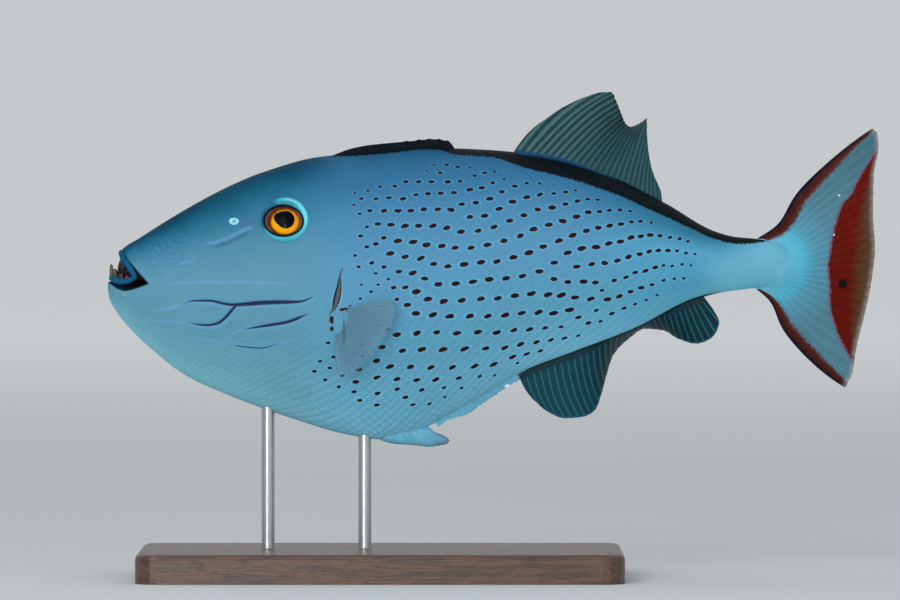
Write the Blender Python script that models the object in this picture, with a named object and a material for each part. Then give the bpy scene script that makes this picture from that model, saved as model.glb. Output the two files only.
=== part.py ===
"""Sargassum triggerfish, a life-size still model held over a flat base by two rods.

The fish faces -X with its back up and its left side towards -Y. The origin is on the ground,
x is measured from the middle of the fish's length and y from its mid plane. Sizes are real
ones in millimetres, and MM turns them into metres where a mesh is made.
"""

import math

import bmesh
import bpy
import numpy as np
from mathutils import Matrix, Vector

MM = 0.001
GAP = 0.3                       # left between two pieces that touch
SNOUT_X = -119.7                # front of the chin
FLESH_END_X = 95.8              # rear of the fleshy tail base, inside the tail fin
AHEAD, BEHIND = -130.0, 130.0   # places clear of the fish, where the cutting blocks end
BELOW, ABOVE = 34.0, 140.0
ASIDE = 45.0

# Outlines in the mid plane, as (x, height), and the body's half width, as (x, width).
BACK = (
    (-119.7, 90.3), (-119.2, 93.7), (-117.3, 98.7), (-115.3, 101.8), (-109.7, 105.5),
    (-100.4, 111.4), (-91.1, 116.8), (-81.8, 121.6), (-72.5, 125.5), (-53.9, 130.6),
    (-34.1, 132.2), (-17.8, 133.3), (-2.8, 132.8), (15.8, 130.7), (34.4, 125.3),
    (53.0, 116.3), (68.5, 107.5), (74.7, 105.8), (80.0, 105.3), (88.7, 104.5),
    (93.3, 101.8), (95.8, 97.7),
)
BELLY = (
    (-119.7, 90.3), (-119.4, 87.5), (-117.6, 83.5), (-113.0, 77.6), (-105.1, 70.1),
    (-95.8, 63.0), (-81.8, 56.5), (-63.2, 49.7), (-44.6, 44.3), (-35.3, 43.0),
    (-27.0, 44.5), (-20.0, 47.2), (-12.1, 51.6), (-7.0, 54.3), (-0.6, 58.2),
    (8.1, 63.2), (25.1, 69.8), (43.7, 77.0), (62.3, 86.3), (71.6, 88.7),
    (80.0, 89.8), (88.7, 90.6), (93.3, 93.7), (95.8, 97.7),
)
HALF_WIDTH = (
    (-119.7, 0.0), (-119.2, 1.7), (-118.4, 3.0), (-116.5, 4.5), (-113.5, 5.8),
    (-109.7, 7.0), (-103.5, 9.2), (-97.3, 11.0), (-81.8, 15.0), (-64.8, 17.9),
    (-44.6, 20.3), (-29.1, 20.7), (-4.3, 19.2), (14.3, 16.5), (32.9, 13.0),
    (51.5, 9.3), (70.0, 6.4), (80.0, 5.0), (88.7, 3.0), (93.3, 1.8), (95.8, 0.0),
)
WIDEST_LEVEL = 0.58             # share of the height from belly to back where it is widest
BACK_ROUND = (2.2, 0.60)        # powers that round the upper half of a section
BELLY_ROUND = (1.9, 0.75)       # and the lower half, which narrows to a keel
BODY_SIDES = 26
SNOUT_RINGS, SNOUT_LENGTH = 10, 10.0
RING_STEP = 4.8
END_INSET = 0.03                # of the first and last ring from the body's two ends

# Where the body is parted: behind the gill slit, and at the start of the tail stalk.
SEAM = (
    (-53.3, ABOVE), (-50.8, 125.3), (-48.4, 111.4), (-46.0, 97.4), (-47.4, 93.1),
    (-49.0, 88.0), (-51.4, 82.2), (-55.8, 68.0), (-60.8, 44.7), (-61.7, BELOW),
)
STALK_X = 69.4
GILL_SLIT = ((-45.4, 98.5), (-46.4, 94.6), (-47.6, 90.0), (-49.2, 86.0), (-51.3, 81.8))
GILL_SLIT_RADII = (0.25, 1.75)  # at its ends and in its middle

# The open mouth, from the side.
MOUTH_ROOF = ((-122.5, 107.0), (-115.4, 102.4), (-113.5, 99.0), (-110.4, 95.3), (-106.9, 91.4))
MOUTH_FLOOR = ((-110.7, 90.1), (-114.1, 89.3), (-118.2, 90.7), (-122.5, 92.6))
LIPS_PART = (
    (-108.1, 91.8), (-111.0, 93.4), (-112.4, 93.8), (-113.7, 95.0), (-115.6, 98.5),
    (-116.8, 101.0), (-118.0, 104.0),
)
UPPER_CORNER, LOWER_CORNER = (-108.0, 92.2), (-107.9, 91.0)
JAW_DEPTH = (1.2, 0.9)          # of the upper jaw along and below its roof
LIP_TOP_FRONT, LIP_TOP_REAR = (-122.5, 93.2), (-108.6, 93.2)
BEAK_TOP = (-122.5, 104.0)      # above and ahead of the teeth
LIPS_APART = (0.1, 0.12)        # half of the gap between the lips, along and upwards
UPPER_LIP = ((-108.4, 92.6), (-110.4, 94.2), (-111.8, 95.4), (-113.4, 97.3), (-114.6, 99.4),
             (-115.6, 101.1))
LOWER_LIP = ((-108.2, 91.4), (-111.2, 92.3), (-113.8, 92.0), (-116.6, 92.1), (-118.3, 92.6))
LIP_RADIUS = 1.0
LIP_INSET = 0.5                 # of the lip's middle line from the body's surface
GUM_INSET = 1.1                 # of the jaw inside the lips
TEETH_A_SIDE = 4
TOOTH_HEIGHT = 3.6
TOOTH_SUNK = 1.6
TOOTH_PITCH = 2.1
TOOTH_WIDTH = 1.9
TOOTH_THICKNESS = 1.5
TOOTH_LEAN = 0.35
TOOTH_INSET = 1.7               # of the row of teeth inside the lower lip

EYE_X, EYE_Z = -64.8, 111.1
EYE_RADIUS = 7.2
EYE_DEPTH = 5.4                 # half of the flattened eyeball, front to back
EYE_SUNK = 3.0                  # of its middle below the skin
RIM_RADIUS = 6.7
RIM_WIRE = 0.95
RIM_FLATTEN = 0.84
RIM_SIDES = (22, 6)             # round the ring, and round its wire
NOSTRIL_X, NOSTRIL_Z = -80.4, 110.9
NOSTRIL_RADIUS = 1.05
NOSTRIL_WIRE = 0.4
NOSTRIL_FLATTEN = 0.75
NOSTRIL_SIDES = (10, 5)

# Grooves on each side of the head, as (x, height), and the radius of the cut.
CHEEK_GROOVES = (
    ((-98.3, 84.7), (-93.3, 86.3), (-88.3, 86.3), (-82.5, 85.0), (-70.1, 85.6), (-60.3, 85.8),
     (-55.5, 88.4)),
    ((-95.2, 79.3), (-90.8, 78.8), (-86.0, 78.8), (-83.7, 80.7), (-80.9, 83.8)),
    ((-78.7, 77.0), (-72.5, 78.2), (-63.9, 79.4), (-60.3, 80.7), (-57.0, 82.5)),
    ((-83.1, 72.6), (-78.7, 71.9), (-73.2, 71.7), (-67.6, 72.6)),
)
CHEEK_GROOVE_RADIUS = 0.5
EYE_GROOVE = ((-74.4, 108.3), (-77.8, 106.7), (-81.8, 104.9), (-86.2, 103.3))
EYE_GROOVE_RADIUS = 0.7

# The folded first dorsal fin, as (x, top), and the pelvic spine, as (x, middle, half height).
FOLDED_SPINES = (
    (-49.6, 131.6), (-44.6, 132.9), (-35.3, 134.2), (-26.0, 135.3), (-19.0, 135.9),
    (-14.6, 135.4), (-12.1, 133.8),
)
FOLDED_SPINES_HALF_WIDTH = 1.5
FOLDED_SPINES_DEPTH = 4.0
FOLDED_SPINES_RINGS = 15
PELVIC_SPINE = (
    (-36.0, 43.6, 0.5), (-32.0, 43.7, 1.9), (-26.0, 44.2, 2.9), (-20.5, 43.8, 3.1),
    (-18.4, 43.1, 2.2), (-15.8, 42.8, 1.5), (-14.4, 42.6, 0.9), (-13.7, 42.6, 0.1),
)
PELVIC_SPINE_HALF_WIDTH = 1.5
PELVIC_SPINE_RINGS, PELVIC_SPINE_SIDES = 12, 10

# The edge of the flap of skin behind the pelvic spine, as (x, height).
FLAP_EDGE = ((-17.4, 47.0), (-13.9, 49.3), (-8.4, 50.9), (-4.3, 53.7), (2.5, 58.3), (8.1, 61.8))
FLAP_TEETH = 12
FLAP_TOOTH = (0.3, -0.5)        # how far a tooth of the edge stands out, along and upwards
FLAP_ROOT = (-3.0, 6.5)         # from the edge to the hidden root, along and upwards
FLAP_ROWS = 5
FLAP_HALF = (0.9, 0.3)          # half thickness at the root and at the edge

# Fins: where each ray starts along the body, and its tip as (share along the fin, x, y, z).
DORSAL_ROOT_X = (6.6, 52.1)
DORSAL_RAYS = 26
DORSAL_TIPS = (
    (0.00, 14.3, 0.0, 140.8), (0.04, 25.1, -0.5, 147.8), (0.08, 33.5, -0.6, 150.6),
    (0.12, 36.3, 0.0, 150.6), (0.20, 38.0, 3.0, 148.0), (0.30, 39.5, 8.0, 144.5),
    (0.44, 41.4, 14.5, 140.7), (0.50, 42.8, 15.5, 139.9), (0.58, 45.2, 13.5, 140.8),
    (0.68, 47.6, 9.0, 142.5), (0.74, 47.6, 7.0, 139.0), (0.80, 47.8, 5.0, 134.6),
    (0.90, 48.8, 2.5, 127.6), (1.00, 51.8, 1.0, 119.8),
)
ANAL_ROOT_X = (8.1, 65.1)
ANAL_RAYS = 24
ANAL_TIPS = (
    (0.00, 12.4, 0.0, 55.4), (0.05, 16.6, -0.5, 51.6), (0.12, 22.0, -0.8, 49.5),
    (0.20, 27.6, 0.5, 49.9), (0.27, 31.4, 3.0, 51.9), (0.33, 33.4, 6.0, 56.8),
    (0.38, 34.9, 11.0, 62.0), (0.44, 37.2, 17.0, 68.5), (0.52, 42.0, 21.0, 73.6),
    (0.60, 47.4, 19.0, 77.0), (0.68, 52.8, 14.0, 76.6), (0.76, 57.6, 8.5, 74.0),
    (0.84, 62.8, 4.0, 72.6), (0.92, 67.8, 1.5, 74.6), (0.97, 69.9, 0.6, 79.4),
    (1.00, 67.8, 0.2, 83.6),
)
TAIL_RAYS = 24
TAIL_ROOTS = (
    (0.00, 81.5, 105.4), (0.17, 88.0, 104.2), (0.33, 93.2, 101.4), (0.50, 95.6, 97.4),
    (0.67, 93.6, 93.2), (0.83, 88.0, 90.6), (1.00, 81.5, 89.6),
)
TAIL_TIPS = (
    (0.00, 119.2, 0.0, 138.8), (0.10, 119.2, 0.0, 133.6), (0.20, 117.8, 0.4, 125.0),
    (0.35, 117.6, 1.0, 113.0), (0.50, 118.3, 2.4, 102.0), (0.62, 117.3, 4.4, 92.0),
    (0.75, 115.4, 7.0, 82.0), (0.87, 112.9, 9.8, 71.0), (0.95, 111.8, 11.6, 63.5),
    (1.00, 109.6, 12.4, 58.6),
)
TAIL_BOW = ((0.0, 0.085), (0.2, 0.03), (0.5, 0.0), (0.8, -0.04), (1.0, -0.09))
PECTORAL_RAYS = 13
PECTORAL_ROOTS = (
    (0.0, -46.2, 83.2), (0.3, -45.6, 81.2), (0.6, -46.2, 79.0), (1.0, -48.4, 76.2),
)
PECTORAL_TIPS = (
    (0.0, -31.2, 3.0, 86.8), (0.15, -29.8, 4.0, 84.0), (0.35, -31.0, 5.0, 78.5),
    (0.55, -34.6, 6.0, 72.6), (0.75, -39.6, 6.4, 66.6), (0.9, -44.0, 6.2, 63.0),
    (1.0, -47.8, 5.6, 62.8),
)
FIN_ROWS = 6
FIN_SUNK = 3.0                  # of a fin's sheet inside the body, before it is trimmed
FIN_HALF = (0.85, 0.4)          # half thickness of a ray at its root and at its tip
TAIL_HALF = (1.15, 0.4)
RIDGE = 0.15                    # of a fin ray over the membrane, on each face

BASE_SIZE = (150.0, 80.0, 9.0)
BASE_X = -35.0
BASE_CORNER = 7.0
BASE_EDGE = 1.5
ROD_RADIUS = 2.0
ROD_X = {"front": -70.0, "rear": -40.0}
ROD_SUNK = 3.0                  # of a rod's top in the belly, before it is trimmed
TRIM = 0.35                     # left round the body where a fin, spine or rod meets it

FINISHES = {
    "skin_blue": ((0.09, 0.30, 0.48), 0.5, 0.0),
    "lip_blue": ((0.01, 0.10, 0.20), 0.5, 0.0),
    "fin_clear": ((0.04, 0.12, 0.14), 0.5, 0.0),
    "fin_black": ((0.01, 0.015, 0.02), 0.5, 0.0),
    "tail_red": ((0.30, 0.08, 0.06), 0.5, 0.0),
    "eye_gold": ((0.80, 0.35, 0.02), 0.15, 0.0),
    "stand_wood": ((0.06, 0.03, 0.02), 0.45, 0.0),
    "stand_steel": ((0.60, 0.60, 0.60), 0.3, 1.0),
}


class Curve:
    """A smooth line through a few points, x against one or more values, with no overshoot."""

    def __init__(self, points):
        table = np.array(points, dtype=float)
        self.x, self.values = table[:, 0], table[:, 1:]
        step = np.diff(self.x)[:, None]
        rise = np.diff(self.values, axis=0) / step
        before, after = rise[:-1], rise[1:]
        near, far = 2 * step[1:] + step[:-1], step[1:] + 2 * step[:-1]
        same_way = before * after > 0
        safe_before = np.where(same_way, before, 1.0)
        safe_after = np.where(same_way, after, 1.0)
        mean = (near + far) / (near / safe_before + far / safe_after)
        self.slope = np.vstack([rise[:1], np.where(same_way, mean, 0.0), rise[-1:]])

    def at(self, x):
        """The values at x, as an array."""
        x = min(max(x, self.x[0]), self.x[-1])
        k = min(int(np.searchsorted(self.x, x, side="right")) - 1, len(self.x) - 2)
        step = self.x[k + 1] - self.x[k]
        s = (x - self.x[k]) / step
        start = (1 + 2 * s) * (1 - s) ** 2 * self.values[k] + s * (1 - s) ** 2 * step * self.slope[k]
        end = s * s * (3 - 2 * s) * self.values[k + 1] + s * s * (s - 1) * step * self.slope[k + 1]
        return start + end

    def value(self, x):
        """The first value at x, as a number."""
        return float(self.at(x)[0])


BACK_CURVE, BELLY_CURVE, WIDTH_CURVE = Curve(BACK), Curve(BELLY), Curve(HALF_WIDTH)


def rounding(t, powers):
    """Share of the half width left at t, from 0 at the widest level to 1 at the edge."""
    power, root = powers
    return max(0.0, 1.0 - min(abs(t), 1.0) ** power) ** root


def section(x):
    """Back height, belly height, widest level and half width of the body at x."""
    back, belly = BACK_CURVE.value(x), BELLY_CURVE.value(x)
    return back, belly, belly + WIDEST_LEVEL * (back - belly), WIDTH_CURVE.value(x)


def side(x, z):
    """The body's half width at x and height z."""
    back, belly, level, wide = section(x)
    if z >= level:
        return wide * rounding((z - level) / max(back - level, 1e-6), BACK_ROUND)
    return wide * rounding((level - z) / max(level - belly, 1e-6), BELLY_ROUND)


def surface(x, z, hand):
    """A point of the body's side and the direction out of it; hand is -1 left, 1 right."""
    step = 0.5
    point = Vector((x, hand * side(x, z), z))
    along = Vector((2 * step, hand * (side(x + step, z) - side(x - step, z)), 0.0))
    upward = Vector((0.0, hand * (side(x, z + step) - side(x, z - step)), 2 * step))
    outward = along.cross(upward).normalized()
    return point, outward if outward.y * hand > 0 else -outward


def new_object(name, bm):
    """An object, linked to the scene, from a bmesh in millimetres."""
    bmesh.ops.scale(bm, vec=(MM, MM, MM), verts=bm.verts)
    mesh = bpy.data.meshes.new(name)
    bm.to_mesh(mesh)
    bm.free()
    obj = bpy.data.objects.new(name, mesh)
    bpy.context.scene.collection.objects.link(obj)
    return obj


def loft(name, rings):
    """A closed surface over rings of points, each end drawn to the middle of its last ring."""
    bm = bmesh.new()
    rows = [[bm.verts.new(p) for p in ring] for ring in rings]
    sides = len(rows[0])
    for row, following in zip(rows, rows[1:]):
        for k in range(sides):
            after = (k + 1) % sides
            bm.faces.new((row[k], row[after], following[after], following[k]))
    for row in (rows[0], rows[-1]):
        middle = bm.verts.new(sum((v.co for v in row), Vector()) / sides)
        for k in range(sides):
            bm.faces.new((row[k], row[(k + 1) % sides], middle))
    bmesh.ops.recalc_face_normals(bm, faces=bm.faces)
    return new_object(name, bm)


def body_stations():
    """Places along the body for its rings, closer at the snout and at the end of the tail."""
    first, last = SNOUT_X + END_INSET, FLESH_END_X - END_INSET
    places = [first + SNOUT_LENGTH * (k / (SNOUT_RINGS - 1)) ** 2 for k in range(SNOUT_RINGS)]
    while places[-1] < last:
        step = min(RING_STEP, max(0.3, 0.38 * (FLESH_END_X - places[-1])))
        places.append(min(places[-1] + step, last))
    return places


def body(name, inset=0.0):
    """The whole body in one closed surface, or the same drawn in by inset at the snout."""
    rings = []
    for x in body_stations():
        back, belly, level, wide = section(x)
        wide = max(wide - inset, 0.2 * wide)
        upper, lower = back - level, level - belly
        upper, lower = max(upper - inset, 0.2 * upper), max(lower - inset, 0.2 * lower)
        ring = []
        for k in range(BODY_SIDES):
            angle = 2 * math.pi * k / BODY_SIDES
            t, face = math.sin(angle), math.cos(angle)
            if t >= 0:
                z, share = level + t * upper, rounding(t, BACK_ROUND)
            else:
                z, share = level + t * lower, rounding(t, BELLY_ROUND)
            y = 0.0 if abs(face) < 1e-9 else math.copysign(share * wide, face)
            ring.append(Vector((x + inset, y, z)))
        rings.append(ring)
    return loft(name, rings)


def swell(obj, distance):
    """Moves the faces of a smooth closed surface outwards by about the distance."""
    bm = bmesh.new()
    bm.from_mesh(obj.data)
    bm.normal_update()
    for vert, normal in [(v, v.normal.copy()) for v in bm.verts]:
        vert.co += normal * distance * MM
    bm.to_mesh(obj.data)
    bm.free()


def shifted(points, dx, dz):
    """The points of an outline, moved in the mid plane."""
    return [(x + dx, z + dz) for x, z in points]


def prism(name, outline):
    """A closed block with an outline in the mid plane, reaching past both sides."""
    bm = bmesh.new()
    face = bm.faces.new([bm.verts.new((x, -ASIDE, z)) for x, z in outline])
    made = bmesh.ops.extrude_face_region(bm, geom=[face])
    moved = [v for v in made["geom"] if isinstance(v, bmesh.types.BMVert)]
    bmesh.ops.translate(bm, vec=(0, 2 * ASIDE, 0), verts=moved)
    bmesh.ops.triangulate(bm, faces=bm.faces)
    bmesh.ops.recalc_face_normals(bm, faces=bm.faces)
    return new_object(name, bm)


def combine(target, tools, operation, solver="EXACT"):
    """Applies one Boolean of the target with closed objects, and removes them."""
    group = bpy.data.collections.new("tools")
    bpy.context.scene.collection.children.link(group)
    for tool in tools:
        group.objects.link(tool)
    modifier = target.modifiers.new("combine", "BOOLEAN")
    modifier.operation = operation
    modifier.solver = solver
    if len(tools) == 1:
        modifier.object = tools[0]
    else:
        modifier.operand_type = "COLLECTION"
        modifier.collection = group
    bpy.context.view_layer.update()
    evaluated = target.evaluated_get(bpy.context.evaluated_depsgraph_get())
    mesh = bpy.data.meshes.new_from_object(evaluated)
    target.modifiers.remove(modifier)
    target.data = mesh
    for tool in tools:
        bpy.data.objects.remove(tool)
    bpy.data.collections.remove(group)
    keep_largest(target)
    return target


def keep_largest(obj):
    """Keeps the largest closed surface of a mesh and merges points that lie together."""
    bm = bmesh.new()
    bm.from_mesh(obj.data)
    bmesh.ops.remove_doubles(bm, verts=bm.verts, dist=2e-6)
    bmesh.ops.dissolve_degenerate(bm, dist=2e-6, edges=bm.edges)
    bmesh.ops.triangulate(bm, faces=bm.faces)
    left, islands = set(bm.faces), []
    while left:
        island, front = set(), [left.pop()]
        while front:
            face = front.pop()
            island.add(face)
            for edge in face.edges:
                fresh = [f for f in edge.link_faces if f in left]
                left.difference_update(fresh)
                front.extend(fresh)
        islands.append(island)
    keep = max(islands, key=lambda faces: sum(f.calc_area() for f in faces))
    bmesh.ops.delete(bm, geom=[f for f in bm.faces if f not in keep], context="FACES")
    bm.to_mesh(obj.data)
    bm.free()


def trim(obj, solver="EXACT"):
    """Cuts away what lies inside the body, with a gap left round it."""
    near = body("near")
    swell(near, TRIM)
    return combine(obj, [near], "DIFFERENCE", solver)


def part(obj, name, finish):
    """Names a finished piece, gives it its material and puts it in the fish's collection."""
    colour, roughness, metallic = FINISHES[finish]
    material = bpy.data.materials.get(finish) or bpy.data.materials.new(finish)
    material.use_nodes = True
    shader = material.node_tree.nodes["Principled BSDF"]
    shader.inputs["Base Color"].default_value = (*colour, 1.0)
    shader.inputs["Roughness"].default_value = roughness
    shader.inputs["Metallic"].default_value = metallic
    obj.name = obj.data.name = name
    obj.data.materials.clear()
    obj.data.materials.append(material)
    obj.data.shade_smooth()
    obj.data.set_sharp_from_angle(angle=math.radians(40))
    bpy.context.scene.collection.objects.unlink(obj)
    bpy.data.collections["sargassum_triggerfish"].objects.link(obj)
    return obj


def tube(name, points, radii, resolution=1):
    """A closed round rod along points, with a radius at each of them."""
    curve = bpy.data.curves.new(name, "CURVE")
    curve.dimensions = "3D"
    curve.bevel_depth = MM
    curve.bevel_resolution = resolution
    curve.use_fill_caps = True
    spline = curve.splines.new("POLY")
    spline.points.add(len(points) - 1)
    for knot, place, radius in zip(spline.points, points, radii):
        knot.co = (*(Vector(place) * MM), 1.0)
        knot.radius = radius
    guide = bpy.data.objects.new(name, curve)
    bpy.context.scene.collection.objects.link(guide)
    bpy.context.view_layer.update()
    mesh = bpy.data.meshes.new_from_object(guide.evaluated_get(bpy.context.evaluated_depsgraph_get()))
    bpy.data.objects.remove(guide)
    bm = bmesh.new()
    bm.from_mesh(mesh)
    bmesh.ops.remove_doubles(bm, verts=bm.verts, dist=1e-6)
    bmesh.ops.recalc_face_normals(bm, faces=bm.faces)
    bm.to_mesh(mesh)
    bm.free()
    obj = bpy.data.objects.new(name, mesh)
    bpy.context.scene.collection.objects.link(obj)
    return obj


def along_side(line, hand, count, inset=0.0):
    """Points on the body's side along a line drawn in the mid plane, set in by inset."""
    steps = [0.0]
    for (x0, z0), (x1, z1) in zip(line, line[1:]):
        steps.append(steps[-1] + math.hypot(x1 - x0, z1 - z0))
    route = Curve([(s, x, z) for s, (x, z) in zip(steps, line)])
    places = []
    for k in range(count):
        x, z = route.at(steps[-1] * k / (count - 1))
        places.append(Vector((x, hand * max(side(x, z) - inset, 0.0), z)))
    return places


def groove(line, hand, radius, count=9):
    """A cutter that leaves a groove along a line on the body's side, fading at both ends."""
    radii = [radius * (0.35 + 0.65 * math.sin(math.pi * k / (count - 1))) for k in range(count)]
    return tube("groove", along_side(line, hand, count), radii, resolution=0)


def ring(x, z, hand, radius, wire, flatten, sides):
    """A ring set in the body's side, lower than it is long by flatten."""
    point, outward = surface(x, z, hand)
    backward = Vector((1, 0, 0)) - outward * outward.x
    backward.normalize()
    upward = outward.cross(backward) * (-1 if outward.cross(backward).z < 0 else 1)
    round_count, wire_count = sides
    bm = bmesh.new()
    loops = []
    for k in range(round_count):
        angle = 2 * math.pi * k / round_count
        spoke = backward * math.cos(angle) + upward * math.sin(angle) * flatten
        middle = point + spoke * radius
        loops.append([])
        for j in range(wire_count):
            turn = 2 * math.pi * j / wire_count
            offset = (spoke.normalized() * math.cos(turn) + outward * math.sin(turn)) * wire
            loops[-1].append(bm.verts.new(middle + offset))
    for loop, following in zip(loops, loops[1:] + loops[:1]):
        for j in range(wire_count):
            after = (j + 1) % wire_count
            bm.faces.new((loop[j], loop[after], following[after], following[j]))
    bmesh.ops.recalc_face_normals(bm, faces=bm.faces)
    return new_object("ring", bm)


def eyeball(hand, grow=0.0):
    """A flattened ball that looks out of the side of the head."""
    point, outward = surface(EYE_X, EYE_Z, hand)
    bm = bmesh.new()
    bmesh.ops.create_uvsphere(bm, u_segments=22, v_segments=12, radius=1.0)
    bmesh.ops.scale(bm, vec=(EYE_RADIUS + grow, EYE_RADIUS + grow, EYE_DEPTH + grow), verts=bm.verts)
    turn = Vector((0, 0, 1)).rotation_difference(outward).to_matrix().to_4x4()
    place = Matrix.Translation(point - outward * EYE_SUNK)
    bmesh.ops.transform(bm, matrix=place @ turn, verts=bm.verts)
    return new_object("eyeball", bm)


def head():
    """The head, with its eye sockets and rims, nostrils, grooves and open mouth."""
    obj = body("head")
    front = [(AHEAD, BELOW), (AHEAD, ABOVE)] + shifted(SEAM, -GAP / 2, 0.0)
    combine(obj, [prism("front", front)], "INTERSECT")
    raised, cutters = [], [prism("mouth", MOUTH_ROOF + MOUTH_FLOOR)]
    for hand in (-1, 1):
        raised.append(ring(EYE_X, EYE_Z, hand, RIM_RADIUS, RIM_WIRE, RIM_FLATTEN, RIM_SIDES))
        raised.append(ring(NOSTRIL_X, NOSTRIL_Z, hand, NOSTRIL_RADIUS, NOSTRIL_WIRE,
                           NOSTRIL_FLATTEN, NOSTRIL_SIDES))
        cutters.append(eyeball(hand, GAP))
        cutters += [groove(line, hand, CHEEK_GROOVE_RADIUS) for line in CHEEK_GROOVES]
        cutters.append(groove(EYE_GROOVE, hand, EYE_GROOVE_RADIUS, 6))
    combine(obj, raised, "UNION")
    combine(obj, cutters, "DIFFERENCE")
    return part(obj, "head", "skin_blue")


def trunk():
    """The trunk, from the gill slits to the tail stalk."""
    obj = body("trunk")
    middle = shifted(SEAM, GAP / 2, 0.0)
    middle += [(STALK_X - GAP / 2, BELOW), (STALK_X - GAP / 2, ABOVE)]
    combine(obj, [prism("middle", middle)], "INTERSECT")
    slits = []
    for hand in (-1, 1):
        narrow, wide = GILL_SLIT_RADII
        places = along_side(GILL_SLIT, hand, 7)
        radii = [narrow + (wide - narrow) * math.sin(math.pi * k / 6) for k in range(7)]
        slits.append(tube("slit", places, radii))
    combine(obj, slits, "DIFFERENCE")
    return part(obj, "trunk", "skin_blue")


def tail_stalk():
    """The narrow stalk and the thin lobe of flesh that carries the tail fin."""
    obj = body("tail_stalk")
    x = STALK_X + GAP / 2
    rear = [(x, BELOW), (BEHIND, BELOW), (BEHIND, ABOVE), (x, ABOVE)]
    combine(obj, [prism("rear", rear)], "INTERSECT")
    return part(obj, "tail_stalk", "skin_blue")


def lip(line):
    """A round lip along a line on both sides, joined across the front of the mouth."""
    left = along_side(line, -1, 7, LIP_INSET)
    right = [Vector((p.x, -p.y, p.z)) for p in reversed(left)]
    front = Vector((left[-1].x - 0.25, 0.0, left[-1].z))
    points = left + [front] + right
    radii = [LIP_RADIUS * (0.55 if k in (0, len(points) - 1) else 1.0) for k in range(len(points))]
    return tube("lip", points, radii, resolution=1)


def gum(outline):
    """The jaw behind a lip: a slice of the snout, a little smaller than it."""
    obj = body("gum", GUM_INSET)
    return combine(obj, [prism("slice", outline)], "INTERSECT")


def tooth(place, outward, height):
    """A chisel-shaped tooth that stands up from its root and leans a little forward."""
    bm = bmesh.new()
    bmesh.ops.create_cube(bm, size=1.0)
    across = Vector((0, 0, 1)).cross(outward).normalized()
    for vert in bm.verts:
        rise = vert.co.z + 0.5
        thick = TOOTH_THICKNESS * (1.0 - 0.6 * rise)
        wide = TOOTH_WIDTH * (1.0 - 0.25 * rise)
        lean = outward * TOOTH_LEAN * rise
        vert.co = place + lean + outward * vert.co.y * thick + across * vert.co.x * wide \
            + Vector((0, 0, rise * height))
    bm.normal_update()
    bmesh.ops.recalc_face_normals(bm, faces=bm.faces)
    return new_object("tooth", bm)


def teeth():
    """The lower teeth, in pairs from the middle of the jaw backwards."""
    route = along_side(LOWER_LIP, -1, 24, TOOTH_INSET)
    route = [Vector((route[-1].x, 0.0, route[-1].z))] + list(reversed(route))
    made = []
    for k in range(TEETH_A_SIDE):
        travelled, target = 0.0, (k + 0.5) * TOOTH_PITCH
        for a, b in zip(route, route[1:]):
            length = (b - a).length
            if travelled + length >= target:
                place = a.lerp(b, (target - travelled) / length)
                break
            travelled += length
        height = TOOTH_HEIGHT * (1.0 - 0.12 * k) + TOOTH_SUNK
        for hand in (1, -1):
            root = Vector((place.x, place.y * hand, place.z - TOOTH_SUNK))
            outward = Vector((-(1.0 - 0.2 * k), -hand * 0.5 * k, 0)).normalized()
            made.append(tooth(root, outward, height))
    return made


def jaws():
    """The upper lip with its jaw, and the lower lip with its jaw and teeth."""
    roof = shifted(MOUTH_ROOF[1:-1], -0.8 * GAP, -0.6 * GAP)
    along, down = JAW_DEPTH
    upper = gum(roof + [UPPER_CORNER] + shifted([UPPER_CORNER] + roof[::-1], -along, -down))
    combine(upper, [lip(UPPER_LIP)], "UNION")
    forward, upward = LIPS_APART
    split = shifted(LIPS_PART, forward, upward)
    combine(upper, [prism("space", roof + [UPPER_CORNER] + split)], "INTERSECT")
    part(upper, "upper_jaw", "lip_blue")

    floor = shifted((LOWER_CORNER,) + MOUTH_FLOOR, 0.0, GAP)
    lower = gum(floor + [LIP_TOP_FRONT, LIP_TOP_REAR])
    combine(lower, [lip(LOWER_LIP)] + teeth(), "UNION")
    split = shifted(LIPS_PART, -forward, -upward)
    combine(lower, [prism("space", floor + [BEAK_TOP] + split[::-1])], "INTERSECT")
    part(lower, "lower_jaw", "lip_blue")


def sheet(name, columns, rows, place, half):
    """A thin closed sheet: place(u, v) is its mid surface, half(column, v) its half thickness."""
    step = 1e-3
    bm = bmesh.new()
    faces = {-1: [], 1: []}
    for i in range(columns):
        u = i / (columns - 1)
        line = {-1: [], 1: []}
        for j in range(rows):
            v = j / (rows - 1)
            across = place(min(u + step, 1), v) - place(max(u - step, 0), v)
            along = place(u, min(v + step, 1)) - place(u, max(v - step, 0))
            normal = across.cross(along).normalized()
            for face in (-1, 1):
                line[face].append(bm.verts.new(place(u, v) + normal * face * half(i, v)))
        for face in (-1, 1):
            faces[face].append(line[face])
    for face in (-1, 1):
        grid = faces[face]
        for i in range(columns - 1):
            for j in range(rows - 1):
                a, b, c, d = grid[i][j], grid[i + 1][j], grid[i + 1][j + 1], grid[i][j + 1]
                for corner in ((a, b, c), (a, c, d)):
                    bm.faces.new(corner if face > 0 else corner[::-1])
    rim = [(i, 0) for i in range(columns)] + [(columns - 1, j) for j in range(1, rows)]
    rim += [(i, rows - 1) for i in range(columns - 2, -1, -1)] + [(0, j) for j in range(rows - 2, 0, -1)]
    for (i, j), (m, n) in zip(rim, rim[1:] + rim[:1]):
        low, high = faces[-1], faces[1]
        bm.faces.new((low[i][j], low[m][n], high[m][n]))
        bm.faces.new((low[i][j], high[m][n], high[i][j]))
    bmesh.ops.recalc_face_normals(bm, faces=bm.faces)
    return new_object(name, bm)


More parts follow.
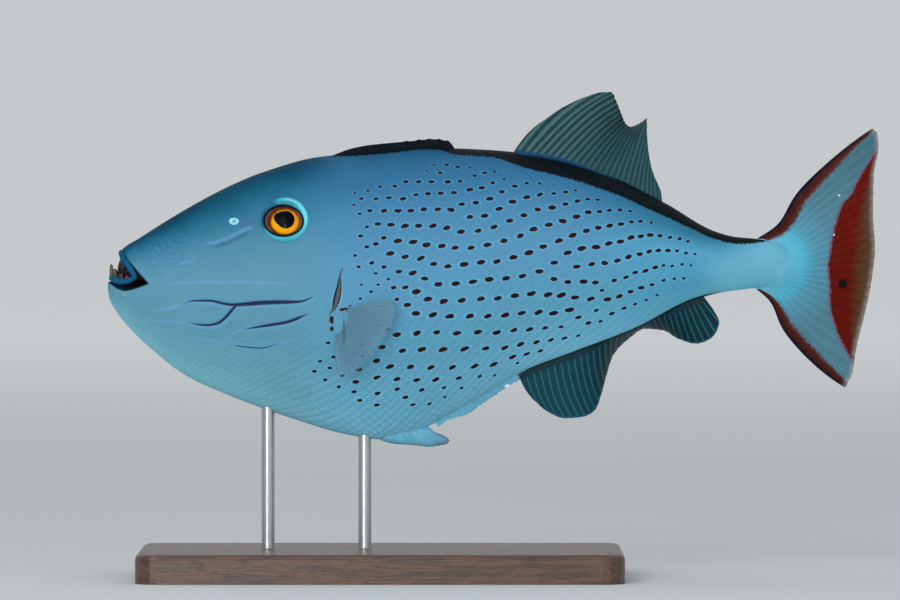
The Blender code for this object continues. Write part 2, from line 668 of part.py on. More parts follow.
def fin(name, rays, root, tip, bow, thickness, finish, curl=1.0, solver="EXACT"):
    """A fin from the body: rays from root(u) to tip(u), bowed by a share of their length.

    Each ray stands above the membrane on both faces. A fin of the mid plane leaves it slowly and
    sways most near its tips, by curl.
    """
    root_half, tip_half = thickness
    columns = 2 * rays - 1

    def place(u, v):
        start, end = root(u), tip(u)
        ray = end - start
        start = start - ray.normalized() * FIN_SUNK
        ray = end - start
        lift = Vector((-ray.z, 0.0, ray.x)) * bow(u) * 4 * v * (1 - v) * (0.6 + 0.8 * v)
        sway = Vector((0.0, ray.y, 0.0)) * (v ** 1.5 - v) * curl
        return start + ray * v + lift + sway

    def half(column, v):
        ray = root_half + (tip_half - root_half) * v
        return ray - RIDGE if column % 2 else ray

    return part(trim(sheet(name, columns, FIN_ROWS, place, half), solver), name, finish)


def crowded(u):
    """Share of a fin's length reached at u, with the rays closer together at the rear."""
    return 1.3 * u - 0.3 * u * u


def middle_fins():
    """The soft dorsal fin, the anal fin and the tail fin."""
    def on_profile(span, profile, inset):
        def root(u):
            x = span[0] + (span[1] - span[0]) * crowded(u)
            return Vector((x, 0.0, profile.value(x) + inset))
        return root

    def tip_on(points):
        curve = Curve(points)
        return lambda u: Vector(curve.at(u))

    fin("second_dorsal_fin", DORSAL_RAYS, on_profile(DORSAL_ROOT_X, BACK_CURVE, 0.0),
        tip_on(DORSAL_TIPS), lambda u: 0.09 * (1 - u), FIN_HALF, "fin_clear")
    fin("anal_fin", ANAL_RAYS, on_profile(ANAL_ROOT_X, BELLY_CURVE, 0.0),
        tip_on(ANAL_TIPS), lambda u: -0.07 * (1 - u), FIN_HALF, "fin_clear")
    roots, tail_bow = Curve(TAIL_ROOTS), Curve(TAIL_BOW)
    fin("caudal_fin", TAIL_RAYS, lambda u: Vector((roots.at(u)[0], 0.0, roots.at(u)[1])),
        tip_on(TAIL_TIPS), tail_bow.value, TAIL_HALF, "tail_red")


def pectoral_fins():
    """The fin on each side, spread behind the gill slit."""
    roots, tips = Curve(PECTORAL_ROOTS), Curve(PECTORAL_TIPS)
    for label, hand in (("left", -1), ("right", 1)):
        def root(u):
            x, z = roots.at(u)
            return Vector((x, hand * side(x, z), z))

        def tip(u):
            x, off, z = tips.at(u)
            return Vector((x, hand * (side(x, z) + off), z))

        fin("pectoral_fin_" + label, PECTORAL_RAYS, root, tip, lambda u: 0.05 * (1 - 2 * u),
            FIN_HALF, "fin_clear", curl=-0.4, solver="MANIFOLD")


def strip(name, top, depth, half_width, finish):
    """A low rounded ridge on the back, sunk into it before it is trimmed."""
    line = Curve(top)
    first, last = top[0][0], top[-1][0]
    rings = []
    count = FOLDED_SPINES_RINGS
    for k in range(count):
        x = first + (last - first) * k / (count - 1)
        end = math.sin(math.pi * (k + 0.4) / (count - 0.2)) ** 0.4
        crest = line.value(x)
        wide = half_width * end
        ring_points = [(wide, crest - depth), (wide, crest - 1.0), (wide * 0.7, crest - 0.3),
                       (0.0, crest), (-wide * 0.7, crest - 0.3), (-wide, crest - 1.0),
                       (-wide, crest - depth)]
        rings.append([Vector((x, y, z)) for y, z in ring_points])
    return part(trim(loft(name, rings)), name, finish)


def pelvic_spine():
    """The short rough spine that ends the keel of the belly."""
    shape = Curve(PELVIC_SPINE)
    first, last = PELVIC_SPINE[0][0], PELVIC_SPINE[-1][0]
    rings = []
    turns = [2 * math.pi * j / PELVIC_SPINE_SIDES for j in range(PELVIC_SPINE_SIDES)]
    for k in range(PELVIC_SPINE_RINGS):
        x = first + (last - first) * (k + 0.15) / (PELVIC_SPINE_RINGS - 0.7)
        middle, tall = shape.at(x)
        wide = PELVIC_SPINE_HALF_WIDTH * min(1.0, tall / 1.6)
        rings.append([Vector((x, wide * math.cos(a), middle + tall * math.sin(a))) for a in turns])
    return part(trim(loft("pelvic_spine", rings)), "pelvic_spine", "skin_blue")


def ventral_flap():
    """The thin flap behind the pelvic spine, with a saw-toothed edge."""
    edge = Curve(FLAP_EDGE)
    first, last = FLAP_EDGE[0][0], FLAP_EDGE[-1][0]
    columns = 2 * FLAP_TEETH + 1

    def place(u, v):
        x = first + (last - first) * u
        outer = Vector((x, 0.0, edge.value(x)))
        inner = outer + Vector((FLAP_ROOT[0], 0.0, FLAP_ROOT[1]))
        stands = round(u * (columns - 1)) % 2 * v ** 4
        return inner.lerp(outer, v) + Vector((FLAP_TOOTH[0], 0.0, FLAP_TOOTH[1])) * stands

    def half(column, v):
        return FLAP_HALF[0] + (FLAP_HALF[1] - FLAP_HALF[0]) * v

    obj = sheet("ventral_flap", columns, FLAP_ROWS, place, half)
    return part(trim(obj), "ventral_flap", "skin_blue")


def stand():
    """A flat base with rounded corners, and two rods up to the belly."""
    length, width, height = BASE_SIZE
    bm = bmesh.new()
    bmesh.ops.create_cube(bm, size=1.0)
    bmesh.ops.scale(bm, vec=BASE_SIZE, verts=bm.verts)
    bmesh.ops.translate(bm, vec=(BASE_X, 0, height / 2), verts=bm.verts)
    upright = [e for e in bm.edges if abs(e.verts[0].co.z - e.verts[1].co.z) > height / 2]
    bmesh.ops.bevel(bm, geom=upright, offset=BASE_CORNER, segments=5, profile=0.5, affect="EDGES")
    top = [e for e in bm.edges if min(v.co.z for v in e.verts) > height - 0.01]
    bmesh.ops.bevel(bm, geom=top, offset=BASE_EDGE, segments=2, profile=0.5, affect="EDGES")
    part(new_object("base", bm), "stand_base", "stand_wood")
    for label, x in ROD_X.items():
        bottom, top_z = height + GAP, BELLY_CURVE.value(x) + ROD_SUNK
        bm = bmesh.new()
        bmesh.ops.create_cone(bm, cap_ends=True, segments=20, radius1=ROD_RADIUS,
                              radius2=ROD_RADIUS, depth=top_z - bottom)
        bmesh.ops.translate(bm, vec=(x, 0, (bottom + top_z) / 2), verts=bm.verts)
        part(trim(new_object("rod", bm)), "stand_rod_" + label, "stand_steel")


def main():
    """Clears the scene and builds every part of the fish and its stand."""
    for obj in list(bpy.data.objects):
        bpy.data.objects.remove(obj)
    group = bpy.data.collections.new("sargassum_triggerfish")
    bpy.context.scene.collection.children.link(group)
    head()
    trunk()
    tail_stalk()
    for label, hand in (("left", -1), ("right", 1)):
        part(eyeball(hand), "eye_" + label, "eye_gold")
    jaws()
    strip("first_dorsal_fin", FOLDED_SPINES, FOLDED_SPINES_DEPTH, FOLDED_SPINES_HALF_WIDTH, "fin_black")
    middle_fins()
    pectoral_fins()
    pelvic_spine()
    ventral_flap()
    stand()


main()
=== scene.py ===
"""Looks of a life-size sargassum triggerfish on its stand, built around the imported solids.

The fish faces -X and its left side is towards -Y, where the camera stands. Shapes are worked
out in millimetres and become metres when a piece is made. Markings are read in pixels of the
photograph's 900 by 600 frame, where a pixel is 0.31 mm on the fish.
"""

import logging
import math
from dataclasses import dataclass
from enum import Enum
from typing import Callable

import bmesh
import bpy
import numpy as np
from mathutils import Matrix, Vector


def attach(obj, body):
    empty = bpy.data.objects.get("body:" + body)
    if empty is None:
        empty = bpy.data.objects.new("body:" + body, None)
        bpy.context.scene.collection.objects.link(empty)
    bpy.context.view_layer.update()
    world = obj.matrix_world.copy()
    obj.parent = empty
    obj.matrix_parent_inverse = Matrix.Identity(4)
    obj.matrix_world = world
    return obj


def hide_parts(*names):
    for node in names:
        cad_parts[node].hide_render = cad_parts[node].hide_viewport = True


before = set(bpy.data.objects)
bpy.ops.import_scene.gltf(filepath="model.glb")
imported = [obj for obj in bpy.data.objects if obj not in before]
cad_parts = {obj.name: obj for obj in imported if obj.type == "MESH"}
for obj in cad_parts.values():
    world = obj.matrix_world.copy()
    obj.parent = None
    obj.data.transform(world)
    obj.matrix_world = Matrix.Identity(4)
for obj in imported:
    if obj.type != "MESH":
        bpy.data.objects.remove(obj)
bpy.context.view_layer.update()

LOG = logging.getLogger("triggerfish")
Array = np.ndarray
BMesh, OPS = bmesh.types.BMesh, bmesh.ops
Material, Mesh, Object = bpy.types.Material, bpy.types.Mesh, bpy.types.Object
Node, NodeSocket = bpy.types.Node, bpy.types.NodeSocket
MM = 0.001
BODY = "root"
SEED = 7
FAR = 99.0                      # millimetres, for places that are clear of a line

PIXEL = 0.31                    # millimetres a pixel of the photograph spans on the fish
PHOTO_X, PHOTO_Y = 494.0, 452.0   # pixel of the fish's middle and of its lowest point
PHOTO_LOW = 41.0                # height of that lowest point
AIM_X, AIM_Z = -13.6, 86.2      # what the camera looks at
NEARER = 0.993                  # the side is nearer to the camera than the mid plane

# Outlines in the mid plane, as (x, height), and the body's half width, as (x, width).
BACK = ((-119.7, 90.3), (-119.2, 93.7), (-117.3, 98.7), (-115.3, 101.8), (-109.7, 105.5), (-100.4, 111.4),
    (-91.1, 116.8), (-81.8, 121.6), (-72.5, 125.5), (-53.9, 130.6), (-34.1, 132.2), (-17.8, 133.3),
    (-2.8, 132.8), (15.8, 130.7), (34.4, 125.3), (53.0, 116.3), (68.5, 107.5), (74.7, 105.8),
    (80.0, 105.3), (88.7, 104.5), (93.3, 101.8), (95.8, 97.7))
BELLY = ((-119.7, 90.3), (-119.4, 87.5), (-117.6, 83.5), (-113.0, 77.6), (-105.1, 70.1), (-95.8, 63.0),
    (-81.8, 56.5), (-63.2, 49.7), (-44.6, 44.3), (-35.3, 43.0), (-27.0, 44.5), (-20.0, 47.2),
    (-12.1, 51.6), (-7.0, 54.3), (-0.6, 58.2), (8.1, 63.2), (25.1, 69.8), (43.7, 77.0), (62.3, 86.3),
    (71.6, 88.7), (80.0, 89.8), (88.7, 90.6), (93.3, 93.7), (95.8, 97.7))
HALF_WIDTH = ((-119.7, 0.0), (-119.2, 1.7), (-118.4, 3.0), (-116.5, 4.5), (-113.5, 5.8), (-109.7, 7.0),
    (-103.5, 9.2), (-97.3, 11.0), (-81.8, 15.0), (-64.8, 17.9), (-44.6, 20.3), (-29.1, 20.7), (-4.3, 19.2),
    (14.3, 16.5), (32.9, 13.0), (51.5, 9.3), (70.0, 6.4), (80.0, 4.9), (85.0, 4.1), (88.7, 3.4),
    (91.5, 2.6), (93.8, 1.6), (95.8, 0.0))
WIDEST_LEVEL = 0.58
BACK_ROUND, BELLY_ROUND = (2.2, 0.60), (1.9, 0.75)

EYE_X, EYE_Z = -64.8, 111.1
EYE_RADIUS, EYE_DEPTH, EYE_SUNK = 7.2, 5.4, 3.0
LIDS_REACH = 14.0               # how far from the eye's middle the lids are felt
EYE_OPENING = (-64.8, 110.8, 6.05, 4.68)       # middle and radii of the opening in the lids
EYE_RING = (-64.45, 111.3, 7.2, 6.8)           # the same for the bright ring's outer edge
NOSTRIL = (-80.2, 110.7, 1.42, 1.0)

GILL_SLIT = ((-46.6, 96.4), (-47.5, 93.6), (-47.6, 91.3), (-48.0, 88.9), (-48.6, 86.2),
             (-49.4, 83.7), (-50.8, 82.0))
SLIT_WIDTHS = (0.0, 0.16, 0.60, 0.92, 0.98, 0.55, 0.0)
EYE_GROOVE = ((-73.6, 108.2), (-78.7, 106.0), (-82.4, 104.3), (-87.0, 102.8), (-91.5, 101.6))
MOUTH_ROOF = ((-122.5, 107.0), (-115.4, 102.4), (-113.5, 99.0), (-110.4, 95.3), (-106.9, 91.4))
MOUTH_FLOOR = ((-110.4, 90.1), (-112.3, 89.5), (-114.4, 89.2), (-116.6, 89.9), (-118.7, 91.4),
               (-122.5, 93.4))
THROAT = (-106.0, 0.0, 92.5)
SNOUT_END = -98.0               # x behind the mouth and its creases
UPPER_LIP = ((-110.9, 93.5), (-111.7, 94.8), (-112.5, 96.1), (-113.6, 97.7), (-114.8, 99.3),
             (-115.3, 100.7))
LOWER_LIP = ((-110.4, 94.0), (-111.6, 93.0), (-113.3, 92.2), (-115.3, 92.0), (-117.2, 92.4),
             (-118.2, 93.0))
UPPER_GUM = ((-110.0, 95.2), (-112.4, 96.6), (-114.9, 98.4))
# The mouth's inside, as (x, height, half height, half width).
MOUTH_LINING = ((-116.7, 94.9, 0.0, 0.0), (-116.4, 95.0, 1.0, 1.0), (-115.3, 95.5, 1.9, 2.1),
                (-113.4, 95.3, 2.4, 3.2), (-111.0, 94.2, 2.2, 4.2), (-107.0, 93.0, 1.0, 4.4))

FOLDED_SPINES = ((-52.0, 131.2), (-44.6, 133.3), (-35.3, 134.5), (-26.0, 135.3), (-19.0, 135.9),
    (-14.6, 135.4), (-12.1, 133.8))
PELVIC_SPINE = ((-36.0, 43.6, 0.5), (-32.0, 43.7, 1.9), (-26.0, 44.2, 2.9), (-20.5, 43.8, 3.1),
    (-18.4, 43.1, 2.2), (-15.8, 42.8, 1.5), (-14.4, 42.6, 0.9), (-13.7, 42.6, 0.1))
FLAP_EDGE = ((-17.4, 47.0), (-13.9, 49.3), (-8.4, 50.9), (-4.3, 53.7), (2.5, 58.3), (8.1, 61.8))
FLAP_ROOT, FLAP_TOOTH, FLAP_TEETH = (-3.0, 6.5), (0.1, -0.42), 26

# Fins: where each ray starts along the body, and its tip as (share along the fin, x, y, z).
DORSAL_ROOT_X, DORSAL_RAYS = (6.6, 52.1), 26
DORSAL_TIPS = ((0.00, 14.3, 0.0, 140.8), (0.04, 25.1, -0.5, 147.8), (0.08, 33.5, -0.6, 150.6),
    (0.12, 36.3, 0.0, 150.6), (0.20, 38.0, 3.0, 148.0), (0.30, 39.5, 8.0, 144.5),
    (0.44, 41.4, 14.5, 140.7), (0.50, 42.8, 15.5, 139.9), (0.58, 45.2, 13.5, 140.8),
    (0.68, 47.6, 9.0, 142.5), (0.74, 47.6, 7.0, 139.0), (0.80, 47.8, 5.0, 134.6), (0.90, 48.8, 2.5, 127.6),
    (1.00, 51.8, 1.0, 119.8))
ANAL_ROOT_X, ANAL_RAYS = (8.1, 65.1), 34
ANAL_TIPS = ((0.00, 12.4, 0.0, 55.4), (0.05, 16.6, -0.5, 51.6), (0.12, 22.0, -0.8, 49.5),
    (0.20, 27.6, 0.5, 49.9), (0.27, 31.4, 3.0, 51.9), (0.33, 33.4, 6.0, 56.8), (0.38, 34.9, 11.0, 62.0),
    (0.44, 37.2, 17.0, 68.5), (0.52, 42.0, 21.0, 73.6), (0.60, 47.4, 19.0, 77.0), (0.68, 52.8, 14.0, 76.6),
    (0.76, 57.6, 8.5, 74.0), (0.84, 62.8, 4.0, 72.6), (0.92, 67.8, 1.5, 74.6), (0.97, 69.9, 0.6, 79.4),
    (1.00, 67.8, 0.2, 83.6))
TAIL_RAYS = 24
TAIL_ROOTS = ((0.00, 81.5, 105.4), (0.17, 88.0, 104.2), (0.33, 93.2, 101.4), (0.50, 95.6, 97.4),
    (0.67, 93.6, 93.2), (0.83, 88.0, 90.6), (1.00, 81.5, 89.6))
TAIL_TIPS = ((0.00, 117.3, 0.0, 139.4), (0.04, 118.8, 0.0, 138.0), (0.10, 119.2, 0.0, 133.6),
    (0.20, 117.8, 0.4, 125.0), (0.35, 117.6, 1.0, 113.0), (0.50, 118.3, 2.4, 102.0),
    (0.62, 117.3, 4.4, 92.0), (0.75, 115.4, 7.0, 82.0), (0.87, 112.9, 9.8, 71.0),
    (0.95, 111.8, 11.6, 63.5), (1.00, 109.6, 12.4, 58.6))
TAIL_BOW = ((0.0, 0.034, 0.045), (0.15, 0.018, 0.025), (0.35, 0.006, 0.0), (0.5, 0.0, 0.0),
            (0.65, -0.008, 0.0), (0.85, -0.032, -0.022), (1.0, -0.056, -0.045))
TAIL_BASE = (82.0, 97.7, 16.5, 14.5)      # middle and radii of the bright blue base
PECTORAL_RAYS = 20
PECTORAL_ROOTS = ((0.0, -46.2, 83.2), (0.3, -45.6, 81.2), (0.6, -46.2, 79.0), (1.0, -48.4, 76.2))
PECTORAL_TIPS = ((0.0, -31.2, 3.0, 86.8), (0.15, -29.8, 4.0, 84.0), (0.35, -31.0, 5.0, 78.5),
    (0.55, -34.6, 6.0, 72.6), (0.75, -39.6, 6.4, 66.6), (0.9, -44.0, 6.2, 63.0), (1.0, -47.8, 5.6, 62.8))

# How far the black band along the back reaches below the outline, as (x, millimetres).
BAND_DROP = ((-53.0, -0.8), (-50.5, 0.4), (-42.8, 0.8), (-34.0, 0.7), (-23.3, 0.3), (-16.7, 0.6),
    (-12.4, 2.0), (-3.7, 2.2), (2.2, 2.6), (4.6, 3.4), (13.0, 4.9), (21.7, 5.3), (43.4, 4.9), (54.3, 4.1),
    (63.9, 2.7), (74.7, 2.2), (82.5, 1.2), (87.0, -0.6))
# Inner edge of the tail's red crescent, as (pixel row, pixel column).
CRESCENT = ((152.0, 878.5), (166.6, 870.0), (183.2, 859.7), (199.8, 851.0), (212.3, 841.5), (224.8, 836.9),
    (241.4, 832.7), (258.0, 829.8), (272.6, 827.8), (289.2, 829.4), (312.1, 830.6), (328.7, 834.8),
    (345.4, 841.0), (360.0, 849.3), (372.4, 856.5), (392.0, 868.0))
# Widths of the dark bands along the tail's upper and lower edges, as (x, millimetres).
TAIL_BAND_UP = ((78.0, 1.8), (82.5, 3.2), (89.0, 4.0), (95.0, 4.1), (101.0, 3.8), (107.0, 3.0),
                (111.0, 2.1), (116.0, 1.3), (118.5, 0.5))
TAIL_BAND_LOW = ((80.0, 0.8), (86.8, 1.8), (90.0, 3.0), (94.0, 3.9), (99.0, 4.1), (104.0, 3.5),
                 (108.0, 2.6), (112.0, 1.3))


class Slot(Enum):
    """Finishes that the record names."""

    SKIN = "skin_blue"
    LIP = "lip_blue"
    CLEAR = "fin_clear"
    BLACK = "fin_black"
    TAIL = "tail_red"
    EYE = "eye_gold"
    WOOD = "stand_wood"
    STEEL = "stand_steel"


class Side(Enum):
    """The fish's own sides, with the sign of y on each."""

    LEFT = -1
    RIGHT = 1


class Curve:
    """A smooth line through a few points, x against one or more values, with no overshoot."""

    def __init__(self, points: tuple) -> None:
        """Works out the slopes.

        Args:
            points: Rows of x and the values there, with x rising.
        """
        table = np.array(points, dtype=float)
        self.x, self.values = table[:, 0], table[:, 1:]
        step = np.diff(self.x)[:, None]
        rise = np.diff(self.values, axis=0) / step
        before, after = rise[:-1], rise[1:]
        near, far = 2 * step[1:] + step[:-1], step[1:] + 2 * step[:-1]
        same_way = before * after > 0
        safe_before = np.where(same_way, before, 1.0)
        safe_after = np.where(same_way, after, 1.0)
        mean = (near + far) / (near / safe_before + far / safe_after)
        self.slope = np.vstack([rise[:1], np.where(same_way, mean, 0.0), rise[-1:]])

    def at(self, x: Array | float) -> Array:
        """All values at each x.

        Args:
            x: Places along the line, held within its ends.

        Returns:
            An array with one more axis than x.
        """
        x = np.clip(np.asarray(x, dtype=float), self.x[0], self.x[-1])
        k = np.clip(np.searchsorted(self.x, x, side="right") - 1, 0, len(self.x) - 2)
        step = (self.x[k + 1] - self.x[k])[..., None]
        s = (x - self.x[k])[..., None] / step
        start = (1 + 2 * s) * (1 - s) ** 2 * self.values[k] + s * (1 - s) ** 2 * step * self.slope[k]
        end = s * s * (3 - 2 * s) * self.values[k + 1] + s * s * (s - 1) * step * self.slope[k + 1]
        return start + end

    def value(self, x: Array | float) -> Array:
        """The first value at each x."""
        return self.at(x)[..., 0]


def photo(*pixels: tuple[float, float]) -> tuple:
    """x and height, in millimetres, of places on the fish's side read in the photograph."""
    return tuple((AIM_X + ((px - PHOTO_X) * PIXEL - AIM_X) * NEARER,
        AIM_Z + (PHOTO_LOW + (PHOTO_Y - py) * PIXEL - AIM_Z) * NEARER) for px, py in pixels)


def smooth(value: Array, low: float, high: float) -> Array:
    """A soft step from 0 at low to 1 at high."""
    s = np.clip((value - low) / (high - low), 0.0, 1.0)
    return s * s * (3 - 2 * s)


def round_distance(x: Array, z: Array, shape: tuple) -> Array:
    """Distance from the middle of an ellipse, given as (x, z, along, upwards), in radii of it."""
    middle_x, middle_z, along, upward = shape
    return np.hypot((x - middle_x) / along, (z - middle_z) / upward)


def unit(vectors: Array) -> Array:
    """The vectors at length 1."""
    return vectors / np.maximum(np.linalg.norm(vectors, axis=-1, keepdims=True), 1e-9)


def mid_plane(x: Array, z: Array) -> Array:
    """Places in the fish's mid plane."""
    return np.column_stack([x, np.zeros(len(x)), z])


def bell(value: Array, middle: Array | float, width: Array | float) -> Array:
    """A soft peak of 1 at the middle."""
    return np.exp(-((value - middle) / width) ** 2)


class Line:
    """A line drawn on the fish's side, with a half width that varies along it."""

    PIECES = 36

    def __init__(self, points: tuple, widths: tuple = (0.0, 0.3, 0.3, 0.0)) -> None:
        """Reads the line at even steps.

        Args:
            points: Places in the mid plane, as (x, height).
            widths: Half widths in millimetres, evenly spaced from the line's start to its end.
        """
        table = np.array(points, dtype=float)
        run = np.concatenate([[0.0], np.cumsum(np.hypot(*np.diff(table, axis=0).T))])
        route = Curve(tuple(np.column_stack([run, table])))
        self.length = run[-1]
        self.knots = route.at(np.linspace(0.0, self.length, self.PIECES + 1))
        self.widths = widths

    def measure(self, x: Array, z: Array, reach: float = 8.0) -> tuple[Array, Array]:
        """Signed distance from the line and share of its length.

        Args:
            x: Places along the fish.
            z: Their heights.
            reach: Places further than this from the line's box are only called far.

        Returns:
            Millimetres, positive above a line that runs backwards, and the share from 0 to 1.
        """
        distance, share = np.full(x.shape, FAR), np.zeros(x.shape)
        low, high = self.knots.min(axis=0) - reach, self.knots.max(axis=0) + reach
        near = (x > low[0]) & (x < high[0]) & (z > low[1]) & (z < high[1])
        places = np.column_stack([x[near], z[near]])
        best = np.full(len(places), 1e9)
        signed, along = np.full(len(places), FAR), np.zeros(len(places))
        for k, (a, b) in enumerate(zip(self.knots, self.knots[1:])):
            run = b - a
            part = np.clip(((places - a) @ run) / (run @ run), 0.0, 1.0)
            off = places - (a + part[:, None] * run)
            size = np.hypot(off[:, 0], off[:, 1])
            side = np.sign(run[0] * off[:, 1] - run[1] * off[:, 0])
            closer = size < best
            best = np.where(closer, size, best)
            signed = np.where(closer, size * side, signed)
            along = np.where(closer, (k + part) / self.PIECES, along)
        distance[near], share[near] = signed, along
        return distance, share

    def width(self, share: Array) -> Array:
        """Half width at a share of the length."""
        return np.interp(share, np.linspace(0.0, 1.0, len(self.widths)), self.widths)


class BodyForm:
    """The smooth body without its fins, from its outlines and its width."""

    def __init__(self) -> None:
        """Makes the three curves and a table of lengths round each section."""
        self.back, self.belly, self.half = Curve(BACK), Curve(BELLY), Curve(HALF_WIDTH)
        self.first, self.last = BACK[0][0], BACK[-1][0]
        self.girth_x = np.linspace(self.first, self.last, 220)
        self.girth_t = np.sin(np.linspace(-math.pi / 2, math.pi / 2, 121))
        grid_x, grid_t = np.meshgrid(self.girth_x, self.girth_t, indexing="ij")
        ring = self.point(grid_x.ravel(), grid_t.ravel()).reshape(*grid_x.shape, 3)
        run = np.cumsum(np.linalg.norm(np.diff(ring, axis=1), axis=2), axis=1)
        run = np.column_stack([np.zeros(len(run)), run])
        self.girth = run - run[:, 60:61]

    @staticmethod
    def rounding(t: Array) -> Array:
        """Share of the half width at t, from -1 at the belly to 1 at the back."""
        upper = (1.0 - np.minimum(np.abs(t), 1.0) ** BACK_ROUND[0]) ** BACK_ROUND[1]
        lower = (1.0 - np.minimum(np.abs(t), 1.0) ** BELLY_ROUND[0]) ** BELLY_ROUND[1]
        return np.where(t >= 0, upper, lower)

    def point(self, x: Array, t: Array) -> Array:
        """Places on the right side of the body.

        Args:
            x: Places along the body.
            t: -1 at the belly, 0 at the widest level, 1 at the back.

        Returns:
            Rows of x, y and z.
        """
        back, belly = self.back.value(x), self.belly.value(x)
        level = belly + WIDEST_LEVEL * (back - belly)
        z = level + t * np.where(t >= 0, back - level, level - belly)
        return np.stack([x, self.half.value(x) * self.rounding(t), z], axis=-1)

    def outward(self, x: Array, t: Array) -> Array:
        """Directions out of the right side at the same places as point()."""
        dx, dt = 0.35, 0.006
        x0, x1 = np.maximum(x - dx, self.first), np.minimum(x + dx, self.last)
        t0, t1 = np.maximum(t - dt, -1.0), np.minimum(t + dt, 1.0)
        along = self.point(x1, t) - self.point(x0, t)
        upward = self.point(x, t1) - self.point(x, t0)
        found = unit(np.cross(upward, along))
        edge = np.abs(t) > 0.9995
        found[edge, 1] = 0.0
        return unit(found)

    def level(self, x: Array, z: Array) -> Array:
        """The t of a height on the body's side, held within the outline."""
        back, belly = self.back.value(x), self.belly.value(x)
        level = belly + WIDEST_LEVEL * (back - belly)
        t = np.where(z >= level, (z - level) / np.maximum(back - level, 1e-6),
                     (z - level) / np.maximum(level - belly, 1e-6))
        return np.clip(t, -1.0, 1.0)

    def side(self, x: Array, z: Array) -> Array:
        """Half width of the body at places along it and heights."""
        return self.point(x, self.level(x, z))[..., 1]

    def wrapped(self, x: Array, run: Array) -> Array:
        """The t at a distance round the section from its widest level.

        Args:
            x: Places along the body.
            run: Millimetres round the section, positive towards the back.

        Returns:
            t, held at the ends.
        """
        k = np.clip(np.searchsorted(self.girth_x, x) - 1, 0, len(self.girth_x) - 2)
        part = ((x - self.girth_x[k]) / (self.girth_x[k + 1] - self.girth_x[k]))[:, None]
        rows = self.girth[k] * (1 - part) + self.girth[k + 1] * part
        j = np.clip((rows < run[:, None]).sum(axis=1) - 1, 0, rows.shape[1] - 2)
        pick = np.arange(len(x))
        low, high = rows[pick, j], rows[pick, j + 1]
        share = np.clip((run - low) / np.maximum(high - low, 1e-6), 0.0, 1.0)
        return self.girth_t[j] * (1 - share) + self.girth_t[j + 1] * share

    def reach(self, x: Array) -> tuple[Array, Array]:
        """Lengths round the section from its widest level to the belly and to the back."""
        return (-np.interp(x, self.girth_x, self.girth[:, 0]),
                np.interp(x, self.girth_x, self.girth[:, -1]))


def unit_grid(columns: int, rows: int) -> BMesh:
    """A flat grid over the unit square, with that many faces each way."""
    bm = bmesh.new()
    OPS.create_grid(bm, x_segments=columns, y_segments=rows, size=0.5)
    OPS.translate(bm, vec=(0.5, 0.5, 0.0), verts=bm.verts)
    return bm


def points_of(made: dict) -> list:
    """The points among what a bmesh operator made."""
    return [item for item in made["geom"] if isinstance(item, bmesh.types.BMVert)]


def unit_shell(columns: int, rows: int) -> BMesh:
    """Two grids over the unit square, joined round their edge, at z of -1 and 1."""
    bm = unit_grid(columns, rows)
    top = points_of(OPS.extrude_face_region(bm, geom=list(bm.faces)))
    OPS.translate(bm, vec=(0.0, 0.0, 2.0), verts=top)
    OPS.translate(bm, vec=(0.0, 0.0, -1.0), verts=bm.verts)
    return bm


def move_points(bm: BMesh, place: Callable[[Array], Array]) -> None:
    """Moves all points, each of which keeps where it came from in a layer, "grid"."""
    came = np.array([vert.co[:] for vert in bm.verts])
    layer = bm.verts.layers.float_vector.new("grid")
    for vert, old, new in zip(bm.verts, came.tolist(), place(came).tolist()):
        vert[layer] = old
        vert.co = new


def mould(bm: BMesh, place: Callable[[Array, Array, Array], Array]) -> BMesh:
    """Bends a unit form into its shape and closes it where its edges meet.

    Args:
        bm: A unit grid or shell.
        place: Gives millimetres for the u, v and w of every point.

    Returns:
        The same form.
    """
    move_points(bm, lambda came: place(*came.T))
    OPS.remove_doubles(bm, verts=bm.verts, dist=0.002)
    OPS.recalc_face_normals(bm, faces=bm.faces)
    return bm


def new_mesh(name: str, bm: BMesh) -> Object:
    """An object, linked to the scene, from a bmesh in millimetres, which it frees."""
    OPS.scale(bm, vec=(MM, MM, MM), verts=bm.verts)
    mesh = bpy.data.meshes.new(name)
    bm.to_mesh(mesh)
    bm.free()
    mesh.shade_smooth()
    return link(bpy.data.objects.new(name, mesh))


def link(obj: Object) -> Object:
    """Puts an object in the scene."""
    bpy.context.scene.collection.objects.link(obj)
    return obj


def grid_of(mesh: Mesh) -> Array:
    """Where each point of a mesh came from, as rows of u, v and w."""
    values = np.zeros(len(mesh.vertices) * 3)
    mesh.attributes["grid"].data.foreach_get("vector", values)
    return values.reshape(-1, 3)


def read_counts(items: bpy.types.bpy_prop_collection, name: str) -> Array:
    """A whole number of each of a mesh's faces or face corners."""
    values = np.zeros(len(items), dtype=np.int64)
    items.foreach_get(name, values)
    return values


def write_points(mesh: Mesh, **fields: Array) -> None:
    """Stores one number for each point of a mesh, under each name."""
    for name, values in fields.items():
        layer = mesh.attributes.new(name, "FLOAT", "POINT")
        layer.data.foreach_set("value", values.astype(np.float32))


def write_corners(mesh: Mesh, name: str, values: Array) -> None:
    """Stores a pair of numbers for each face corner of a mesh, as a UV map."""
    layer = mesh.uv_layers.new(name=name, do_init=False)
    layer.data.foreach_set("uv", values.astype(np.float32).ravel())


def finish_piece(obj: Object, material: Material, slot: Slot, *nodes: str) -> Object:
    """Dresses a piece and ties it to the frame.

    Args:
        obj: The piece, in place.
        material: Its finish.
        slot: The record's finish that it stands for. It is not used.
        nodes: The solids that it replaces.

    Returns:
        The same piece.
    """
    obj.data.materials.append(material)
    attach(obj, BODY)
    if nodes:
        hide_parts(*nodes)
    obj.data.calc_loop_triangles()
    LOG.info("%s: %d triangles", obj.name, len(obj.data.loop_triangles))
    return obj


